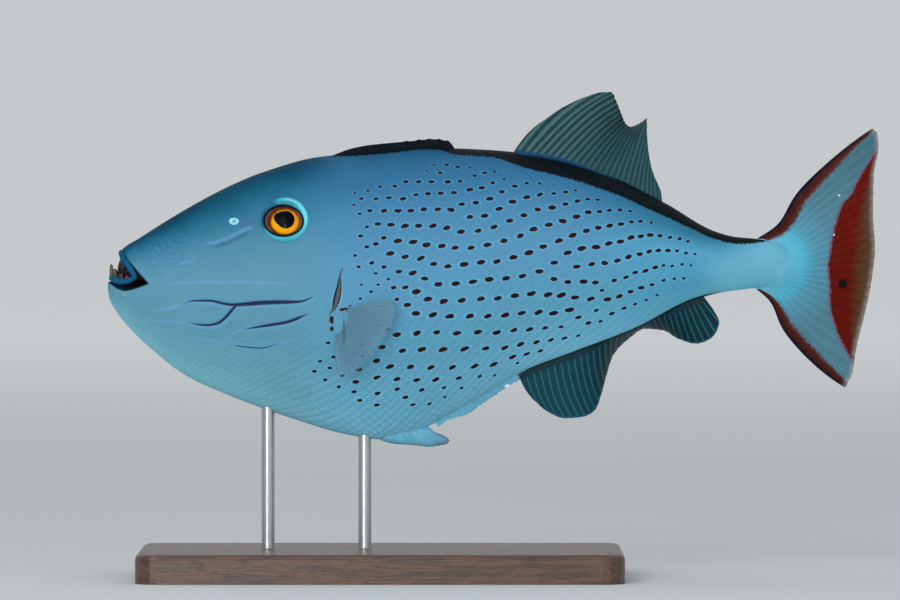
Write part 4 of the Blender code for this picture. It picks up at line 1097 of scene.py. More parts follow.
SPOT_ROWS = tuple(SpotRow(*row[:4], tuple(zip(row[4::2], row[5::2])))
    for row in ((0.6, 2.0, 2.0, 6.0, 434, 170, 447, 170, 458, 172, 470, 173),
    (0.62, 2.5, 2.0, 6.0, 427, 176, 440, 178, 475, 181, 485, 178, 495, 177),
    (0.72, 5.0, 1.5, 0.0, 355, 198, 368, 196, 380, 192, 395, 191.5, 406, 187, 419, 187, 431.5, 187, 448,
    187, 460, 186.5), (0.74, 4.0, 3.0, 4.0, 354, 210, 361.5, 204, 376, 204, 389, 203, 403, 204, 416, 200,
    428, 199, 441, 198.5, 454, 198, 470, 195, 482, 193, 493, 188, 504, 184.5),
    (0.86, 3.0, 5.0, 6.0, 360, 219, 370, 216, 384, 216, 398, 216, 411, 216, 424, 214.5, 438, 214.5, 451,
    215, 462, 209.5, 476, 208, 490, 204, 502, 197, 515, 191.5, 527, 188.4, 540, 188.8),
    (0.9, 1.0, 5.0, 10.0, 470, 222, 485, 221, 499, 214, 512.6, 207, 526.7, 202.5, 540, 200, 554, 198.7,
    566, 197.4, 576, 195.7), (0.9, 3.0, 5.0, 10.0, 367, 232, 378, 229, 391, 230, 405, 231, 419, 231, 433,
    231, 447, 233, 461, 237, 478, 236, 494, 232, 510, 226, 524, 220.4, 538, 214.8, 552.5, 212.7, 565.6,
    209.5, 578, 206.4, 588, 204.4, 598, 205), (0.94, 3.0, 6.0, 10.0, 361, 241, 384, 243, 398, 246, 413,
    247, 427, 250, 442, 251, 455, 253, 471, 253, 487.5, 250, 504, 246, 520.4, 241, 533.6, 234.4, 549, 230,
    563, 226.4, 577, 221.8, 588.5, 217.6, 600, 217, 610, 215.8, 620.6, 215.2, 631, 216.5),
    (0.97, 3.0, 7.0, 10.0, 367, 252, 376, 249, 390.5, 258.4, 405.5, 262, 421, 263.4, 434, 269, 448, 271.4,
    464, 269.4, 481, 267.4, 497, 266.7, 513.7, 262.5, 529, 258, 543.4, 252, 559, 246, 573, 240.6, 586.6,
    236, 598.6, 233, 610, 231, 621.6, 229.4, 632, 227.3, 641.4, 226.7, 652, 228),
    (1.0, 6.0, 9.0, 10.0, 359, 272, 372, 268, 384, 272, 399, 276.7, 413, 278, 425, 283.7, 438.6, 289.4,
    455.7, 288.7, 473, 287, 489.5, 284.4, 506, 283.6, 522.5, 281.3, 539.4, 276.8, 554.5, 268, 568, 258.3,
    582, 253.7, 596.5, 252.5, 609, 248.8, 620.7, 247, 631.5, 243, 641.6, 241.7, 651, 240.3, 660.7, 241.3,
    671, 242.7, 680.6, 244.3, 689, 247), (0.86, 1.0, 7.0, 8.0, 577, 272, 592, 269.5, 605, 268.5, 618, 266,
    629, 262.4, 640.4, 259.6, 650, 257, 659, 256, 668.7, 256, 678, 256.3, 687, 258.7, 696, 259.6),
    (0.86, 1.0, 2.0, 0.0, 554, 284.4, 568.4, 287.5, 584, 287, 596, 288, 602.5, 296),
    (0.74, 1.0, 6.0, 16.0, 614.7, 286, 626.5, 283, 636, 278, 646, 276.4, 656, 273, 664.5, 271, 673, 271.5,
    683, 270, 692, 271), (1.05, 3.0, 11.0, 12.0, 394, 292.6, 405.5, 292.5, 416.5, 296.7, 428, 304.4, 444,
    306.5, 462, 305.6, 481, 304, 498, 303.5, 515, 301, 531.5, 299, 548, 300, 561.5, 300.7, 575.4, 303, 591,
    304.5, 608, 305, 620, 302, 631.5, 297.3, 642, 293.4, 653, 290.3, 664.8, 286, 675.5, 284.5, 685, 284),
    (0.47, 1.0, 1.0, 10.0, 376, 278.5, 388.6, 284.3, 378.4, 289.6, 361.6, 289.6, 371.5, 296.7, 360.6,
    303.8, 355.5, 260.7, 362, 350.7), (1.05, 3.0, 4.0, 12.0, 397, 304.4, 407.4, 310, 416, 318.4, 433, 320,
    450, 321.5, 470, 321.4, 488, 321.5, 505.5, 320.5, 522, 318.4, 539, 317.7, 554, 318.7, 570, 315.5, 579,
    323, 589, 329, 601.4, 327.3), (0.7, 1.0, 5.0, 18.0, 597, 316, 612.7, 319.3, 625, 314, 636, 310, 647,
    306, 658, 301), (1.0, 2.0, 4.0, 14.0, 388, 334.6, 397, 340, 417, 338.4, 436.6, 337.5, 457, 338.5, 478,
    337.5, 497, 338, 514.3, 335.7, 530, 335, 545.6, 333.7, 561.7, 332.8),
    (1.0, 1.0, 5.0, 16.0, 381.5, 352.3, 402.4, 356, 422, 354.7, 443, 355, 465, 354.3, 486, 354, 505, 353.5,
    521, 350, 537, 348, 551.5, 346, 565, 344.3, 579, 341.7), (0.98, 2.0, 4.0, 20.0, 363, 361.6, 376.6, 366,
    390, 372, 410.7, 372.3, 431, 373, 452.4, 373, 475, 372, 494, 370.3, 513, 363, 527.5, 360, 541, 357,
    518, 369.2), (0.9, 1.0, 4.0, 20.0, 359, 375, 377, 383, 397, 384.7, 416.5, 385.7, 436, 385.3, 459, 384,
    480, 382.6, 495, 381.6), (0.8, 1.0, 3.0, 20.0, 355.7, 387.4, 377.6, 399, 397, 395, 422, 395.7, 444,
    393.7, 461.7, 394.2), (0.7, 1.0, 3.0, 16.0, 354, 397.6, 359.7, 406.3, 376.6, 411, 405.5, 403.3, 413,
    410.8, 429.6, 410, 445, 403.3), (0.56, 1.0, 1.0, 10.0, 328.3, 348, 333.7, 362.5, 320, 366.6, 329.7,
    373.5, 314.3, 377, 342, 381, 325, 385.5, 338.7, 392.4)))
SPOT_RADII = (1.30, 0.72)       # of a full-sized spot, along and upwards

CHEEK_LINES = (Line(photo((178, 311.5), (193, 306.5), (209, 306.3), (224, 309.3), (235.2, 310.8)),
    (0.0, 0.3, 0.42, 0.44)), Line(photo((234, 310.6), (268, 308), (299.5, 307), (311.5, 302.8),
    (318, 297.6)), (0.5, 0.68, 0.68, 0.62, 0.34, 0.0)), Line(photo((184, 328.2), (205, 331), (216, 329.5),
    (222.5, 325.5), (235.2, 311.5)), (0.0, 0.36, 0.46, 0.46)), Line(photo((240, 335.6), (260, 332.2),
    (287.4, 327.5), (301, 322.3), (310.5, 317.6)), (0.0, 0.3, 0.46, 0.5, 0.5, 0.0)),
    Line(photo((222, 348.2), (240, 352), (259.3, 353.6), (279.4, 349)), (0.0, 0.2, 0.22, 0.1)))
PALE_LINES = (Line(photo((256, 231.5), (247, 234), (238, 239), (227, 244.5), (213, 248), (201, 249)),
    (0.0, 0.55, 0.5, 0.4, 0.0)), Line(photo((146, 319), (163, 315), (178, 311.5)), (0.0, 0.3, 0.4)),
    Line(photo((144, 326), (162, 327.5), (184, 328.2)), (0.0, 0.3, 0.34)),
    Line(photo((192, 344), (212, 346.5), (224, 348.4)), (0.0, 0.26, 0.3)),
    Line(photo((226, 343), (234, 339), (241, 335.5)), (0.0, 0.22, 0.3)),
    Line(photo((149, 291), (180, 288.5), (240, 287.5), (305, 290))),
    Line(photo((171, 269.8), (185, 268), (199.5, 265.4)), (0.0, 0.26, 0.0)),
    Line(photo((279.4, 349), (290, 345.5), (299, 341)), (0.2, 0.22, 0.0)))


class Relief:
    """Small forms of the skin over the smooth body: lids, nostril, grooves, slit and mouth."""

    def __init__(self, form: BodyForm) -> None:
        """Sets up the eye's own axes and the lines on the smooth body."""
        self.form = form
        self.slit, self.groove = Line(GILL_SLIT, SLIT_WIDTHS), Line(EYE_GROOVE)
        x = np.array([EYE_X])
        t = form.level(x, np.array([EYE_Z]))
        self.eye, self.eye_out = form.point(x, t)[0], form.outward(x, t)[0]
        along = np.array([1.0, 0.0, 0.0]) - self.eye_out * self.eye_out[0]
        self.eye_along = along / np.linalg.norm(along)
        self.mouth = np.array(MOUTH_ROOF + MOUTH_FLOOR)

    def wedge(self, x: Array, z: Array) -> Array:
        """Distance outside the open mouth's outline, less than 0 inside it."""
        distance, inside = np.full(x.shape, FAR), np.zeros(x.shape, dtype=bool)
        near = x < SNOUT_END
        px, pz = x[near], z[near]
        best, odd = np.full(px.shape, FAR), np.zeros(px.shape, dtype=bool)
        for (ax, az), (bx, bz) in zip(self.mouth, np.roll(self.mouth, -1, axis=0)):
            run_x, run_z = bx - ax, bz - az
            part = np.clip(((px - ax) * run_x + (pz - az) * run_z) / (run_x ** 2 + run_z ** 2), 0, 1)
            best = np.minimum(best, np.hypot(px - ax - part * run_x, pz - az - part * run_z))
            slope = run_x / (run_z if run_z else 1e-9)
            odd ^= ((az > pz) != (bz > pz)) & (px < ax + (pz - az) * slope)
        distance[near], inside[near] = best, odd
        return np.where(inside, -distance, distance)

    def lift(self, rest: Array) -> Array:
        """How far the skin stands off the smooth body.

        Args:
            rest: Places on the right side of the smooth body.

        Returns:
            Millimetres along the direction outwards.
        """
        x, z = rest[:, 0], rest[:, 2]
        nostril = round_distance(x, z, NOSTRIL)
        raised = self._lids(rest) + 0.38 * bell(nostril, 0.95, 0.3) - 0.7 * bell(nostril, 0.0, 0.5)
        off, share = self.groove.measure(x, z)
        fade = np.sin(math.pi * np.clip(share, 0, 1)) ** 0.5
        raised += fade * (0.22 * bell(off, 1.6, 1.0) - 0.5 * bell(off, 0.0, 0.75))
        for line in CHEEK_LINES[:4]:
            off, share = line.measure(x, z)
            width = line.width(share)
            raised += width * (0.22 * bell(np.abs(off), 1.1, 0.6) - 0.9 * bell(off, 0.0, width + 0.22))
        pad = round_distance(x, z, (-46.4, 79.9, 3.2, 5.2))
        return raised + self._slit(x, z) + 0.3 * (1.0 - smooth(pad, 0.3, 1.25))

    def _lids(self, rest: Array) -> Array:
        """The skin drawn over the eyeball, open in front of it."""
        off = rest - self.eye
        along, outward = off @ self.eye_along, off @ self.eye_out
        upward = off @ np.cross(self.eye_along, self.eye_out)
        share = 1.0 - (along ** 2 + upward ** 2) / EYE_RADIUS ** 2
        ball = np.where(share > 0, np.sqrt(np.maximum(share, 0.0)), share * 2.0)
        ball = EYE_DEPTH * ball - EYE_SUNK - outward + 0.28
        near = (np.abs(along) < LIDS_REACH) & (np.abs(upward) < LIDS_REACH)
        opening, ring = (round_distance(rest[:, 0], rest[:, 2], shape)
            for shape in (EYE_OPENING, EYE_RING))
        cover = np.logaddexp(0.0, ball / 0.45) * 0.45 + 0.5 * bell(ring, 0.90, 0.14)
        open_here = 1.0 - smooth(opening, 0.90, 1.0)
        return np.where(near, cover - open_here * (cover + 0.9 - np.maximum(ball - 0.9, 0.0)), 0.0)

    def _slit(self, x: Array, z: Array) -> Array:
        """The gill opening: a raised front edge, a slit and a lower rear edge."""
        off, share = self.slit.measure(x, z)
        cut = 1.0 - smooth(np.abs(off) / np.maximum(self.slit.width(share), 0.2), 0.45, 1.2)
        ends = np.interp(share, (0.0, 0.25, 0.75, 1.0), (0.0, 1.0, 1.0, 0.0))
        front, rear = 0.40 * bell(off, -1.6, 1.2) * (off < 0), 0.2 * bell(off, 1.8, 1.2) * (off > 0)
        return ends * (front + rear - 1.1 * cut)

    def placed(self, x: Array, t: Array, above: Array | float = 0.0) -> tuple[Array, Array]:
        """Places on the skin of the right side, and on the smooth body below them.

        Args:
            x: Places along the body.
            t: -1 at the belly to 1 at the back.
            above: Millimetres over the skin.

        Returns:
            The places on the skin and those on the smooth body.
        """
        rest = self.form.point(x, t)
        placed = rest + self.form.outward(x, t) * (self.lift(rest) + above)[:, None]
        depth = smooth(-self.wedge(rest[:, 0], rest[:, 2]), 0.0, 0.55)[:, None]
        return placed + (np.array(THROAT) - placed) * depth * 0.72, rest


class Markings:
    """Spots, lines and bands, stored on a mesh that lies on the body."""

    def __init__(self, form: BodyForm, relief: Relief) -> None:
        """Gathers all spots on the smooth body, and keeps the small forms that some follow."""
        self.form, self.relief, self.band = form, relief, Curve(BAND_DROP)
        self.spots = np.array([place for row in SPOT_ROWS for place in photo(*row.points)])
        self.sizes = np.concatenate([row.sizes() for row in SPOT_ROWS])
        self.tilts = np.radians([row.tilt for row in SPOT_ROWS for _ in row.points])
        draw = np.random.default_rng(SEED)
        self.sizes *= draw.uniform(0.9, 1.1, len(self.sizes))
        self.tilts += draw.normal(0.0, 0.10, len(self.tilts))
        self.spot_y, above, below = (form.side(self.spots[:, 0], self.spots[:, 1] + off)
            for off in (0.0, 0.5, -0.5))
        self.up = unit(np.column_stack([above - below, np.ones(len(above))]))

    def write(self, mesh: Mesh, rest: Array) -> None:
        """Stores all fields.

        Args:
            mesh: The skin or its scales.
            rest: Where each point is on the smooth body's right side.
        """
        x, z = rest[:, 0], rest[:, 2]
        back, belly = self.form.back.value(x), self.form.belly.value(x)
        slit, part = self.relief.slit.measure(x, z)
        slit = np.abs(slit) / np.maximum(self.relief.slit.width(part), 0.22)
        off, share = self.relief.groove.measure(x, z)
        ends = smooth(share, 0.0, 0.2) * (1.0 - smooth(share, 0.6, 1.0))
        write_points(mesh, height=(z - belly) / np.maximum(back - belly, 0.5), depth=back - z,
            band=self.band.value(x) - (back - z), slit=np.minimum(slit, 4.0),
            groove=np.minimum(np.abs(off) + 2.0 * (1.0 - ends), 9.0),
            wedge=np.clip(self.relief.wedge(x, z), -4.0, 4.0))
        corners = rest[read_counts(mesh.loops, "vertex_index")]
        counts = read_counts(mesh.polygons, "loop_total")
        middles = np.add.reduceat(corners, read_counts(mesh.polygons, "loop_start"), axis=0)
        middles /= counts[:, None]
        write_corners(mesh, "Spots", self._spot_map(corners, middles, counts))
        write_corners(mesh, "Lines", self._line_map(corners, middles, counts))

    def _spot_map(self, corners: Array, middles: Array, counts: Array) -> Array:
        """For each corner, its place in radii of the spot nearest to its face."""
        nearest = np.full(len(middles), -1)
        near = np.flatnonzero((middles[:, 0] > -60.0) & (middles[:, 0] < 70.0))
        for chunk in np.array_split(near, max(1, len(near) // 8000)):
            off = middles[chunk][:, None, (0, 2)] - self.spots[None]
            nearest[chunk] = np.argmin(np.hypot(off[..., 0], off[..., 1] * 1.3), axis=1)
        chosen = np.repeat(nearest, counts)
        found = np.full((len(corners), 2), 9.0)
        use = chosen >= 0
        k = chosen[use]
        off_x, off_y, off_z = (corners[use] - np.insert(self.spots, 1, self.spot_y, axis=1)[k]).T
        up = off_y * self.up[k, 0] + off_z * self.up[k, 1]
        cos, sin = np.cos(self.tilts[k]), np.sin(self.tilts[k])
        turned = np.column_stack([off_x * cos + up * sin, up * cos - off_x * sin])
        size = self.sizes[k][:, None]
        found[use] = turned / (np.array(SPOT_RADII) * np.hstack([size, size ** 0.7]))
        return np.clip(found, -9.0, 9.0)

    @staticmethod
    def _line_map(corners: Array, middles: Array, counts: Array) -> Array:
        """For each corner, millimetres from the line nearest to its face, and its half width.

        A pale line's half width is stored below 0.
        """
        lines = [(line, 1.0) for line in CHEEK_LINES] + [(line, -1.0) for line in PALE_LINES]
        gaps = np.stack([np.abs(line.measure(middles[:, 0], middles[:, 2], 3.0)[0]) for line, _ in lines])
        chosen = np.repeat(np.argmin(gaps, axis=0), counts)
        found = np.tile((9.0, 0.0), (len(corners), 1))
        for k, (line, sign) in enumerate(lines):
            use = np.flatnonzero(chosen == k)
            distance, share = line.measure(corners[use, 0], corners[use, 2], 3.5)
            close = np.abs(distance) < 9.0
            found[use[close]] = np.column_stack([distance, sign * line.width(share)])[close]
        return found


@dataclass
class Skin(Piece):
    """One skin over head, trunk and tail stalk, finer where the forms are small."""

    relief: Relief
    markings: Markings
    name, slot, nodes = "fish_skin", Slot.SKIN, ("head", "trunk", "tail_stalk")
    columns: int = 204
    rows: int = 96
    stations: tuple = ((0.0, -119.7), (0.02, -119.55), (0.05, -118.9), (0.155, -105.0),
        (0.47, -50.0), (0.90, 70.0), (1.0, 95.77))

    def along(self, u: Array, v: Array) -> tuple[Array, Array]:
        """x and t of places in the unit square, closer together at the snout and the back."""
        angle = math.pi * (v - 0.5) - 0.19 * np.sin(2 * math.pi * (v - 0.5))
        return Curve(self.stations).value(u), np.sin(angle)

    def shape(self) -> BMesh:
        """The skin of both sides, made of a grid whose faces are divided where it is fine."""
        bm = unit_grid(self.columns, self.rows)
        for wanted in (self._wants_half, self._wants_quarter):
            u, v, _ = np.array([face.calc_center_median()[:] for face in bm.faces]).T
            x, _, z = self.relief.form.point(*self.along(u, v)).T
            chosen = [face for face, wants in zip(list(bm.faces), wanted(x, z)) if wants]
            edges = list({edge for face in chosen for edge in face.edges})
            OPS.subdivide_edges(bm, edges=edges, cuts=1, use_grid_fill=True)
        border = [face for face in bm.faces if len(face.verts) > 4]
        OPS.triangulate(bm, faces=border, quad_method="BEAUTY", ngon_method="BEAUTY")
        other = points_of(OPS.duplicate(bm, geom=bm.verts[:] + bm.edges[:] + bm.faces[:]))
        OPS.translate(bm, vec=(0.0, 0.0, 1.0), verts=other)

        def place(u: Array, v: Array, w: Array) -> Array:
            placed, _ = self.relief.placed(*self.along(u, v))
            placed[:, 1] *= np.where(w > 0.5, 1.0, -1.0)
            placed[(v < 1e-6) | (v > 1 - 1e-6), 1] = 0.0
            return placed

        return mould(bm, place)

    def dress(self, mesh: Mesh) -> None:
        """Stores the markings."""
        u, v, _ = grid_of(mesh).T
        self.markings.write(mesh, self.relief.form.point(*self.along(u, v)))

    def _wants_half(self, x: Array, z: Array) -> Array:
        """Which faces are divided once: the face of the fish, its cheeks and the slit."""
        face = (x < SNOUT_END) & (self.relief.wedge(x, z) < 5.0)
        for shape, reach in ((EYE_RING, 1.5), ((-46.5, 88.0, 7.0, 16.0), 1.0), (NOSTRIL, 2.5)):
            face |= round_distance(x, z, shape) < reach
        for line in CHEEK_LINES + PALE_LINES[:1]:
            face |= np.abs(line.measure(x, z, 3.0)[0]) < 1.6
        return face

    def _wants_quarter(self, x: Array, z: Array) -> Array:
        """Which faces are divided again: lids, nostril, lips' edge and the slit's edges."""
        opening = round_distance(x, z, EYE_OPENING)
        face = (opening > 0.8) & (opening < 1.35) | (round_distance(x, z, NOSTRIL) < 1.9)
        face |= (x < SNOUT_END) & (np.abs(self.relief.wedge(x, z)) < 1.3)
        off, share = self.relief.slit.measure(x, z, 4.0)
        return face | ((np.abs(off) < 2.0) & (share > 0.02) & (share < 0.98))


@dataclass
class ScaleCoat:
    """Thin rhomb-shaped scales over the skin, in rows that follow the body."""

    relief: Relief
    markings: Markings
    length: float = 3.3
    height: float = 3.1
    gap: float = 0.032
    rim: float = 0.45
    sunk: float = -0.02
    thick: tuple[float, float] = (0.006, 0.019)
    growth: tuple = ((-120.0, 0.55), (-100.0, 0.62), (-72.0, 0.78), (-45.0, 1.0), (30.0, 1.0),
        (62.0, 0.80), (88.0, 0.60))

    def __post_init__(self) -> None:
        """Works out how the rows' own measure runs along the body."""
        self.form, self.size = self.relief.form, Curve(self.growth)
        self.station_x = np.linspace(self.form.first, self.form.last, 400)
        steps = np.diff(self.station_x) / self.size.value(self.station_x[:-1])
        self.station_run = np.concatenate([[0.0], np.cumsum(steps)])
        self.long = self.station_run[-1]

    def on_body(self, run: Array, up: Array) -> tuple[Array, Array, Array]:
        """x, t and distance round the section of places in the rows' own measure."""
        x = np.interp(run, self.station_run, self.station_x)
        round_body = up * self.size.value(x)
        return x, self.form.wrapped(x, round_body), round_body

    def build(self, material: Material) -> None:
        """Makes the scales of both sides, each as one piece, from the skin's finish."""
        bm, rest = self._plates(), []

        def place(came: Array) -> Array:
            x, t, _ = self.on_body(came[:, 0], came[:, 1])
            placed, below = self.relief.placed(x, t, came[:, 2] * self.size.value(x))
            rest.append(below)
            return placed

        move_points(bm, place)
        for side in Side:
            copy = bm.copy()
            if side is Side.LEFT:
                OPS.scale(copy, vec=(1.0, -1.0, 1.0), verts=copy.verts)
            OPS.recalc_face_normals(copy, faces=copy.faces)
            obj = new_mesh("scales_" + side.name.lower(), copy)
            self.markings.write(obj.data, rest[0])
            self._write_bake_map(obj.data, side)
            finish_piece(obj, material, Slot.SKIN)
        bm.free()

    def _plates(self) -> BMesh:
        """All plates of a side, laid flat, with their height over the skin as z."""
        count = int(self.long / self.length + 150.0 / self.height)
        bm = bmesh.new()
        OPS.create_grid(bm, x_segments=count, y_segments=count, size=count / 2)
        turn = Matrix(((self.length / 2, self.length / 2, 0.0), (-self.height / 2, self.height / 2, 0.0),
            (0.0, 0.0, 1.0)))
        OPS.transform(bm, matrix=Matrix.Translation((self.long / 2, 0, 0)) @ turn.to_4x4(), verts=bm.verts)
        faces = list(bm.faces)
        run, up, _ = np.array([face.calc_center_median()[:] for face in faces]).T
        outside = [face for face, keep in zip(faces, self._wanted(run, up)) if not keep]
        OPS.delete(bm, geom=outside, context="FACES")
        ring = OPS.inset_individual(bm, faces=list(bm.faces), thickness=self.gap / 2, use_even_offset=True)
        OPS.delete(bm, geom=ring["faces"], context="FACES")
        plates = list(bm.faces)
        OPS.translate(bm, vec=(0.0, 0.0, self.sunk), verts=bm.verts)
        radial = OPS.inset_individual(bm, faces=plates, thickness=self.rim, use_even_offset=True)["faces"]
        low, high = self.thick
        tops = set()
        for plate in plates:
            middle = plate.calc_center_median().x
            for vert in plate.verts:
                vert.co.z = low + (high - low) * ((vert.co.x - middle) / self.length + 0.5)
                tops.add(vert)
        spokes = {edge for face in radial for edge in face.edges
            if (edge.verts[0] in tops) != (edge.verts[1] in tops)}
        edges = [edge for edge in bm.edges if edge not in spokes]
        OPS.subdivide_edges(bm, edges=edges, cuts=1, use_grid_fill=True)
        OPS.holes_fill(bm, edges=[edge for edge in bm.edges if edge.is_boundary], sides=0)
        return bm

    def _wanted(self, run: Array, up: Array) -> Array:
        """Which plates lie on scaled skin, clear of the eye, mouth, grooves, slit and fins."""
        x, t, round_body = self.on_body(run, up)
        z = self.form.point(x, t)[:, 2]
        below, above = self.form.reach(x)
        margin = self.size.value(x) * self.height * 0.42
        keep = (round_body > margin - below) & (round_body < above - margin)
        keep &= (run > 4.0) & (run < self.long - 2.0) & (x > -112.0) & (x < 90.0)
        keep &= self.relief.wedge(x, z) > 2.2
        for shape, reach in ((EYE_RING, 1.6), (NOSTRIL, 2.9), ((-47.5, 79.5, 4.5, 7.0), 1.0)):
            keep &= round_distance(x, z, shape) > reach
        for line in CHEEK_LINES:
            keep &= np.abs(line.measure(x, z, 4.0)[0]) > 2.2
        keep &= np.abs(self.relief.groove.measure(x, z, 5.0)[0]) > 3.2
        off, share = self.relief.slit.measure(x, z, 8.0)
        return keep & ((np.abs(off) > 5.0) | (share <= -0.1) | (share >= 1.1))

    def _write_bake_map(self, mesh: Mesh, side: Side) -> None:
        """Unrolls the plates of a side into its own half of a map of the whole body."""
        run, up, _ = grid_of(mesh).T
        low = 0.75 if side is Side.RIGHT else 0.25
        places = np.column_stack([0.01 + 0.98 * run / self.long, low + 0.48 * up / 180.0 * 1.6])
        write_corners(mesh, "OFBake", places[read_counts(mesh.loops, "vertex_index")])


def rounded_ends(u: Array, share: float) -> Array:
    """A factor of 1 that falls to 0 at both ends over a share of the length, as a dome does."""
    near = np.minimum(u, 1.0 - u) / share
    return np.sqrt(np.clip(1.0 - (1.0 - np.clip(near, 0.0, 1.0)) ** 2, 0.0, 1.0))


def snout_route(form: BodyForm, points: tuple, inset: float) -> Curve:
    """A line round the front of the snout, from the left corner to the right one.

    Args:
        form: The smooth body.
        points: The line on the side of the snout, as (x, height).
        inset: Millimetres below the body's surface.

    Returns:
        Places at shares of the line's length.
    """
    line = Line(points).knots
    y = np.maximum(form.side(line[:, 0], line[:, 1]) - inset, 0.35)
    left = np.column_stack([line[:, 0], -y, line[:, 1]])
    front = left[-1] * (1.0, 0.0, 1.0) - (0.1, 0.0, 0.0)
    places = np.vstack([left, front, left[::-1] * (1.0, -1.0, 1.0)])
    run = np.concatenate([[0.0], np.cumsum(np.linalg.norm(np.diff(places, axis=0), axis=1))])
    return Curve(tuple(np.column_stack([run / run[-1], places])))


@dataclass
class Lip(Piece):
    """One lip. points is its middle line, and radii go outwards and along the snout."""

    form: BodyForm
    name: str
    points: tuple
    radii: tuple[float, float]
    nodes: tuple[str, ...]
    slot: Slot = Slot.LIP

    def shape(self) -> BMesh:
        """A round form along the line, with fine folds."""
        route, step = snout_route(self.form, self.points, 0.55), 0.01

        def place(u: Array, v: Array, w: Array) -> Array:
            angle = 2 * math.pi * v
            run = unit(route.at(np.minimum(u + step, 1)) - route.at(np.maximum(u - step, 0)))
            middle = route.at(u)
            outward = middle * (1.0, 1.9, 0.0) + (107.0, 0.0, 0.0)
            outward = unit(outward - run * np.sum(outward * run, axis=1, keepdims=True))
            ends = rounded_ends(u, 0.05) * (0.7 + 0.3 * np.sin(math.pi * u) ** 0.5)
            fold = 1.0 + 0.05 * np.sin(u * 150.0 + 2.0 * np.sin(angle)) * np.cos(angle)
            return middle + outward * (self.radii[0] * ends * fold * np.cos(angle))[:, None] \
                + np.cross(run, outward) * (self.radii[1] * ends * np.sin(angle))[:, None]

        return mould(unit_grid(150, 28), place)


@dataclass
class Teeth(Piece):
    """The teeth of the lower jaw and the tips of the upper ones, as one piece."""

    form: BodyForm
    name, slot, nodes = "teeth", Slot.LIP, ()
    each_side: int = 4
    pitch: float = 2.1
    size: tuple[float, float, float] = (1.7, 2.15, 5.0)
    inset: float = 1.5
    sunk: float = 0.7

    def shape(self) -> BMesh:
        """Each tooth stands on the line of its gum, and those further back are smaller."""
        bm = bmesh.new()
        lower = snout_route(self.form, LOWER_LIP, self.inset)
        upper = snout_route(self.form, UPPER_GUM, self.inset + 0.4)
        for k in range(self.each_side):
            for hand in (-1, 1):
                self._tooth(bm, lower.at(0.5 + hand * (k + 0.5) * self.pitch / 22.0), hand, k, 1.0, 0.35)
                if k < 3:
                    place = upper.at(0.5 + hand * (k + 0.4) * self.pitch / 14.0)
                    self._tooth(bm, place, hand, k, -0.68, 1.3)
        OPS.recalc_face_normals(bm, faces=bm.faces)
        return bm

    def _tooth(self, bm: BMesh, place: Array, hand: int, k: int, rise: float, lean: float) -> None:
        """Adds one chisel-shaped tooth.

        Args:
            bm: Where it is added.
            place: Its root, at the gum.
            hand: -1 on the left, 1 on the right.
            k: Its number from the middle of the jaw.
            rise: Its size, less than 0 where it points down.
            lean: Millimetres that its tip stands further out than its root.
        """
        thick, wide, tall = self.size
        others = len(bm.verts)
        made = OPS.create_cube(bm, size=1.0)
        edges = list({edge for vert in made["verts"] for edge in vert.link_edges})
        OPS.subdivide_edges(bm, edges=edges, cuts=4, use_grid_fill=True)
        outward = Vector((-(1.0 - 0.22 * k), hand * 0.55 * k, 0.0)).normalized()
        across = Vector((0, 0, 1)).cross(outward)
        size = abs(rise) * (1.0 - 0.17 * k)
        for vert in list(bm.verts)[others:]:
            co = vert.co * 2.0
            roundness = (abs(co.x) ** 4 + abs(co.y) ** 4 + abs(co.z) ** 5) ** 0.25
            co = co * (max(abs(co.x), abs(co.y), abs(co.z)) / max(roundness, 1e-6))
            level = (co.z + 1.0) / 2.0
            height = level * tall * size - self.sunk - 0.25 * level * co.x * co.x
            vert.co = Vector(place) + across * co.x * wide / 2 * (1.0 - 0.22 * level) \
                + outward * (co.y * thick / 2 * (1.0 - 0.5 * level) + lean * level) \
                + Vector((0.0, 0.0, math.copysign(1.0, rise) * height))


class Strand(Piece):
    """A closed round form that runs along the fish in its mid plane.

    points has x, the middle's height and what radii() needs beside them, steps how many steps
    the form has along and round it, and lowered how far its middle lies below the points.
    """

    points: tuple
    steps: tuple[int, int]
    lowered: float = 0.0

    def radii(self, u: Array, angle: Array, *others: Array) -> tuple[Array, Array]:
        """Half widths sideways and upwards, at shares of the length and angles round it."""
        raise NotImplementedError

    def shape(self) -> BMesh:
        """The form, moulded from a grid."""
        curve, (first, last) = Curve(self.points), (self.points[0][0], self.points[-1][0])

        def place(u: Array, v: Array, w: Array) -> Array:
            x, angle = first + (last - first) * u, 2 * math.pi * v
            z, *others = curve.at(x).T
            wide, tall = self.radii(u, angle, *others)
            return np.column_stack([x, wide * np.cos(angle), z - self.lowered + tall * np.sin(angle)])

        return mould(unit_grid(*self.steps), place)


@dataclass
class MouthLining(Strand):
    """The gums and tongue, which close the open mouth behind the teeth."""

    name, slot, nodes = "mouth_lining", Slot.LIP, ()
    points: tuple = MOUTH_LINING
    steps: tuple[int, int] = (48, 32)

    def radii(self, u: Array, angle: Array, *others: Array) -> tuple[Array, Array]:
        """Half widths with soft folds."""
        tall, wide = others
        folds = 1.0 + 0.05 * np.sin(u * 40.0 + angle * 3.0)
        return wide * folds, tall * folds * rounded_ends(u, 0.1) ** 0.3


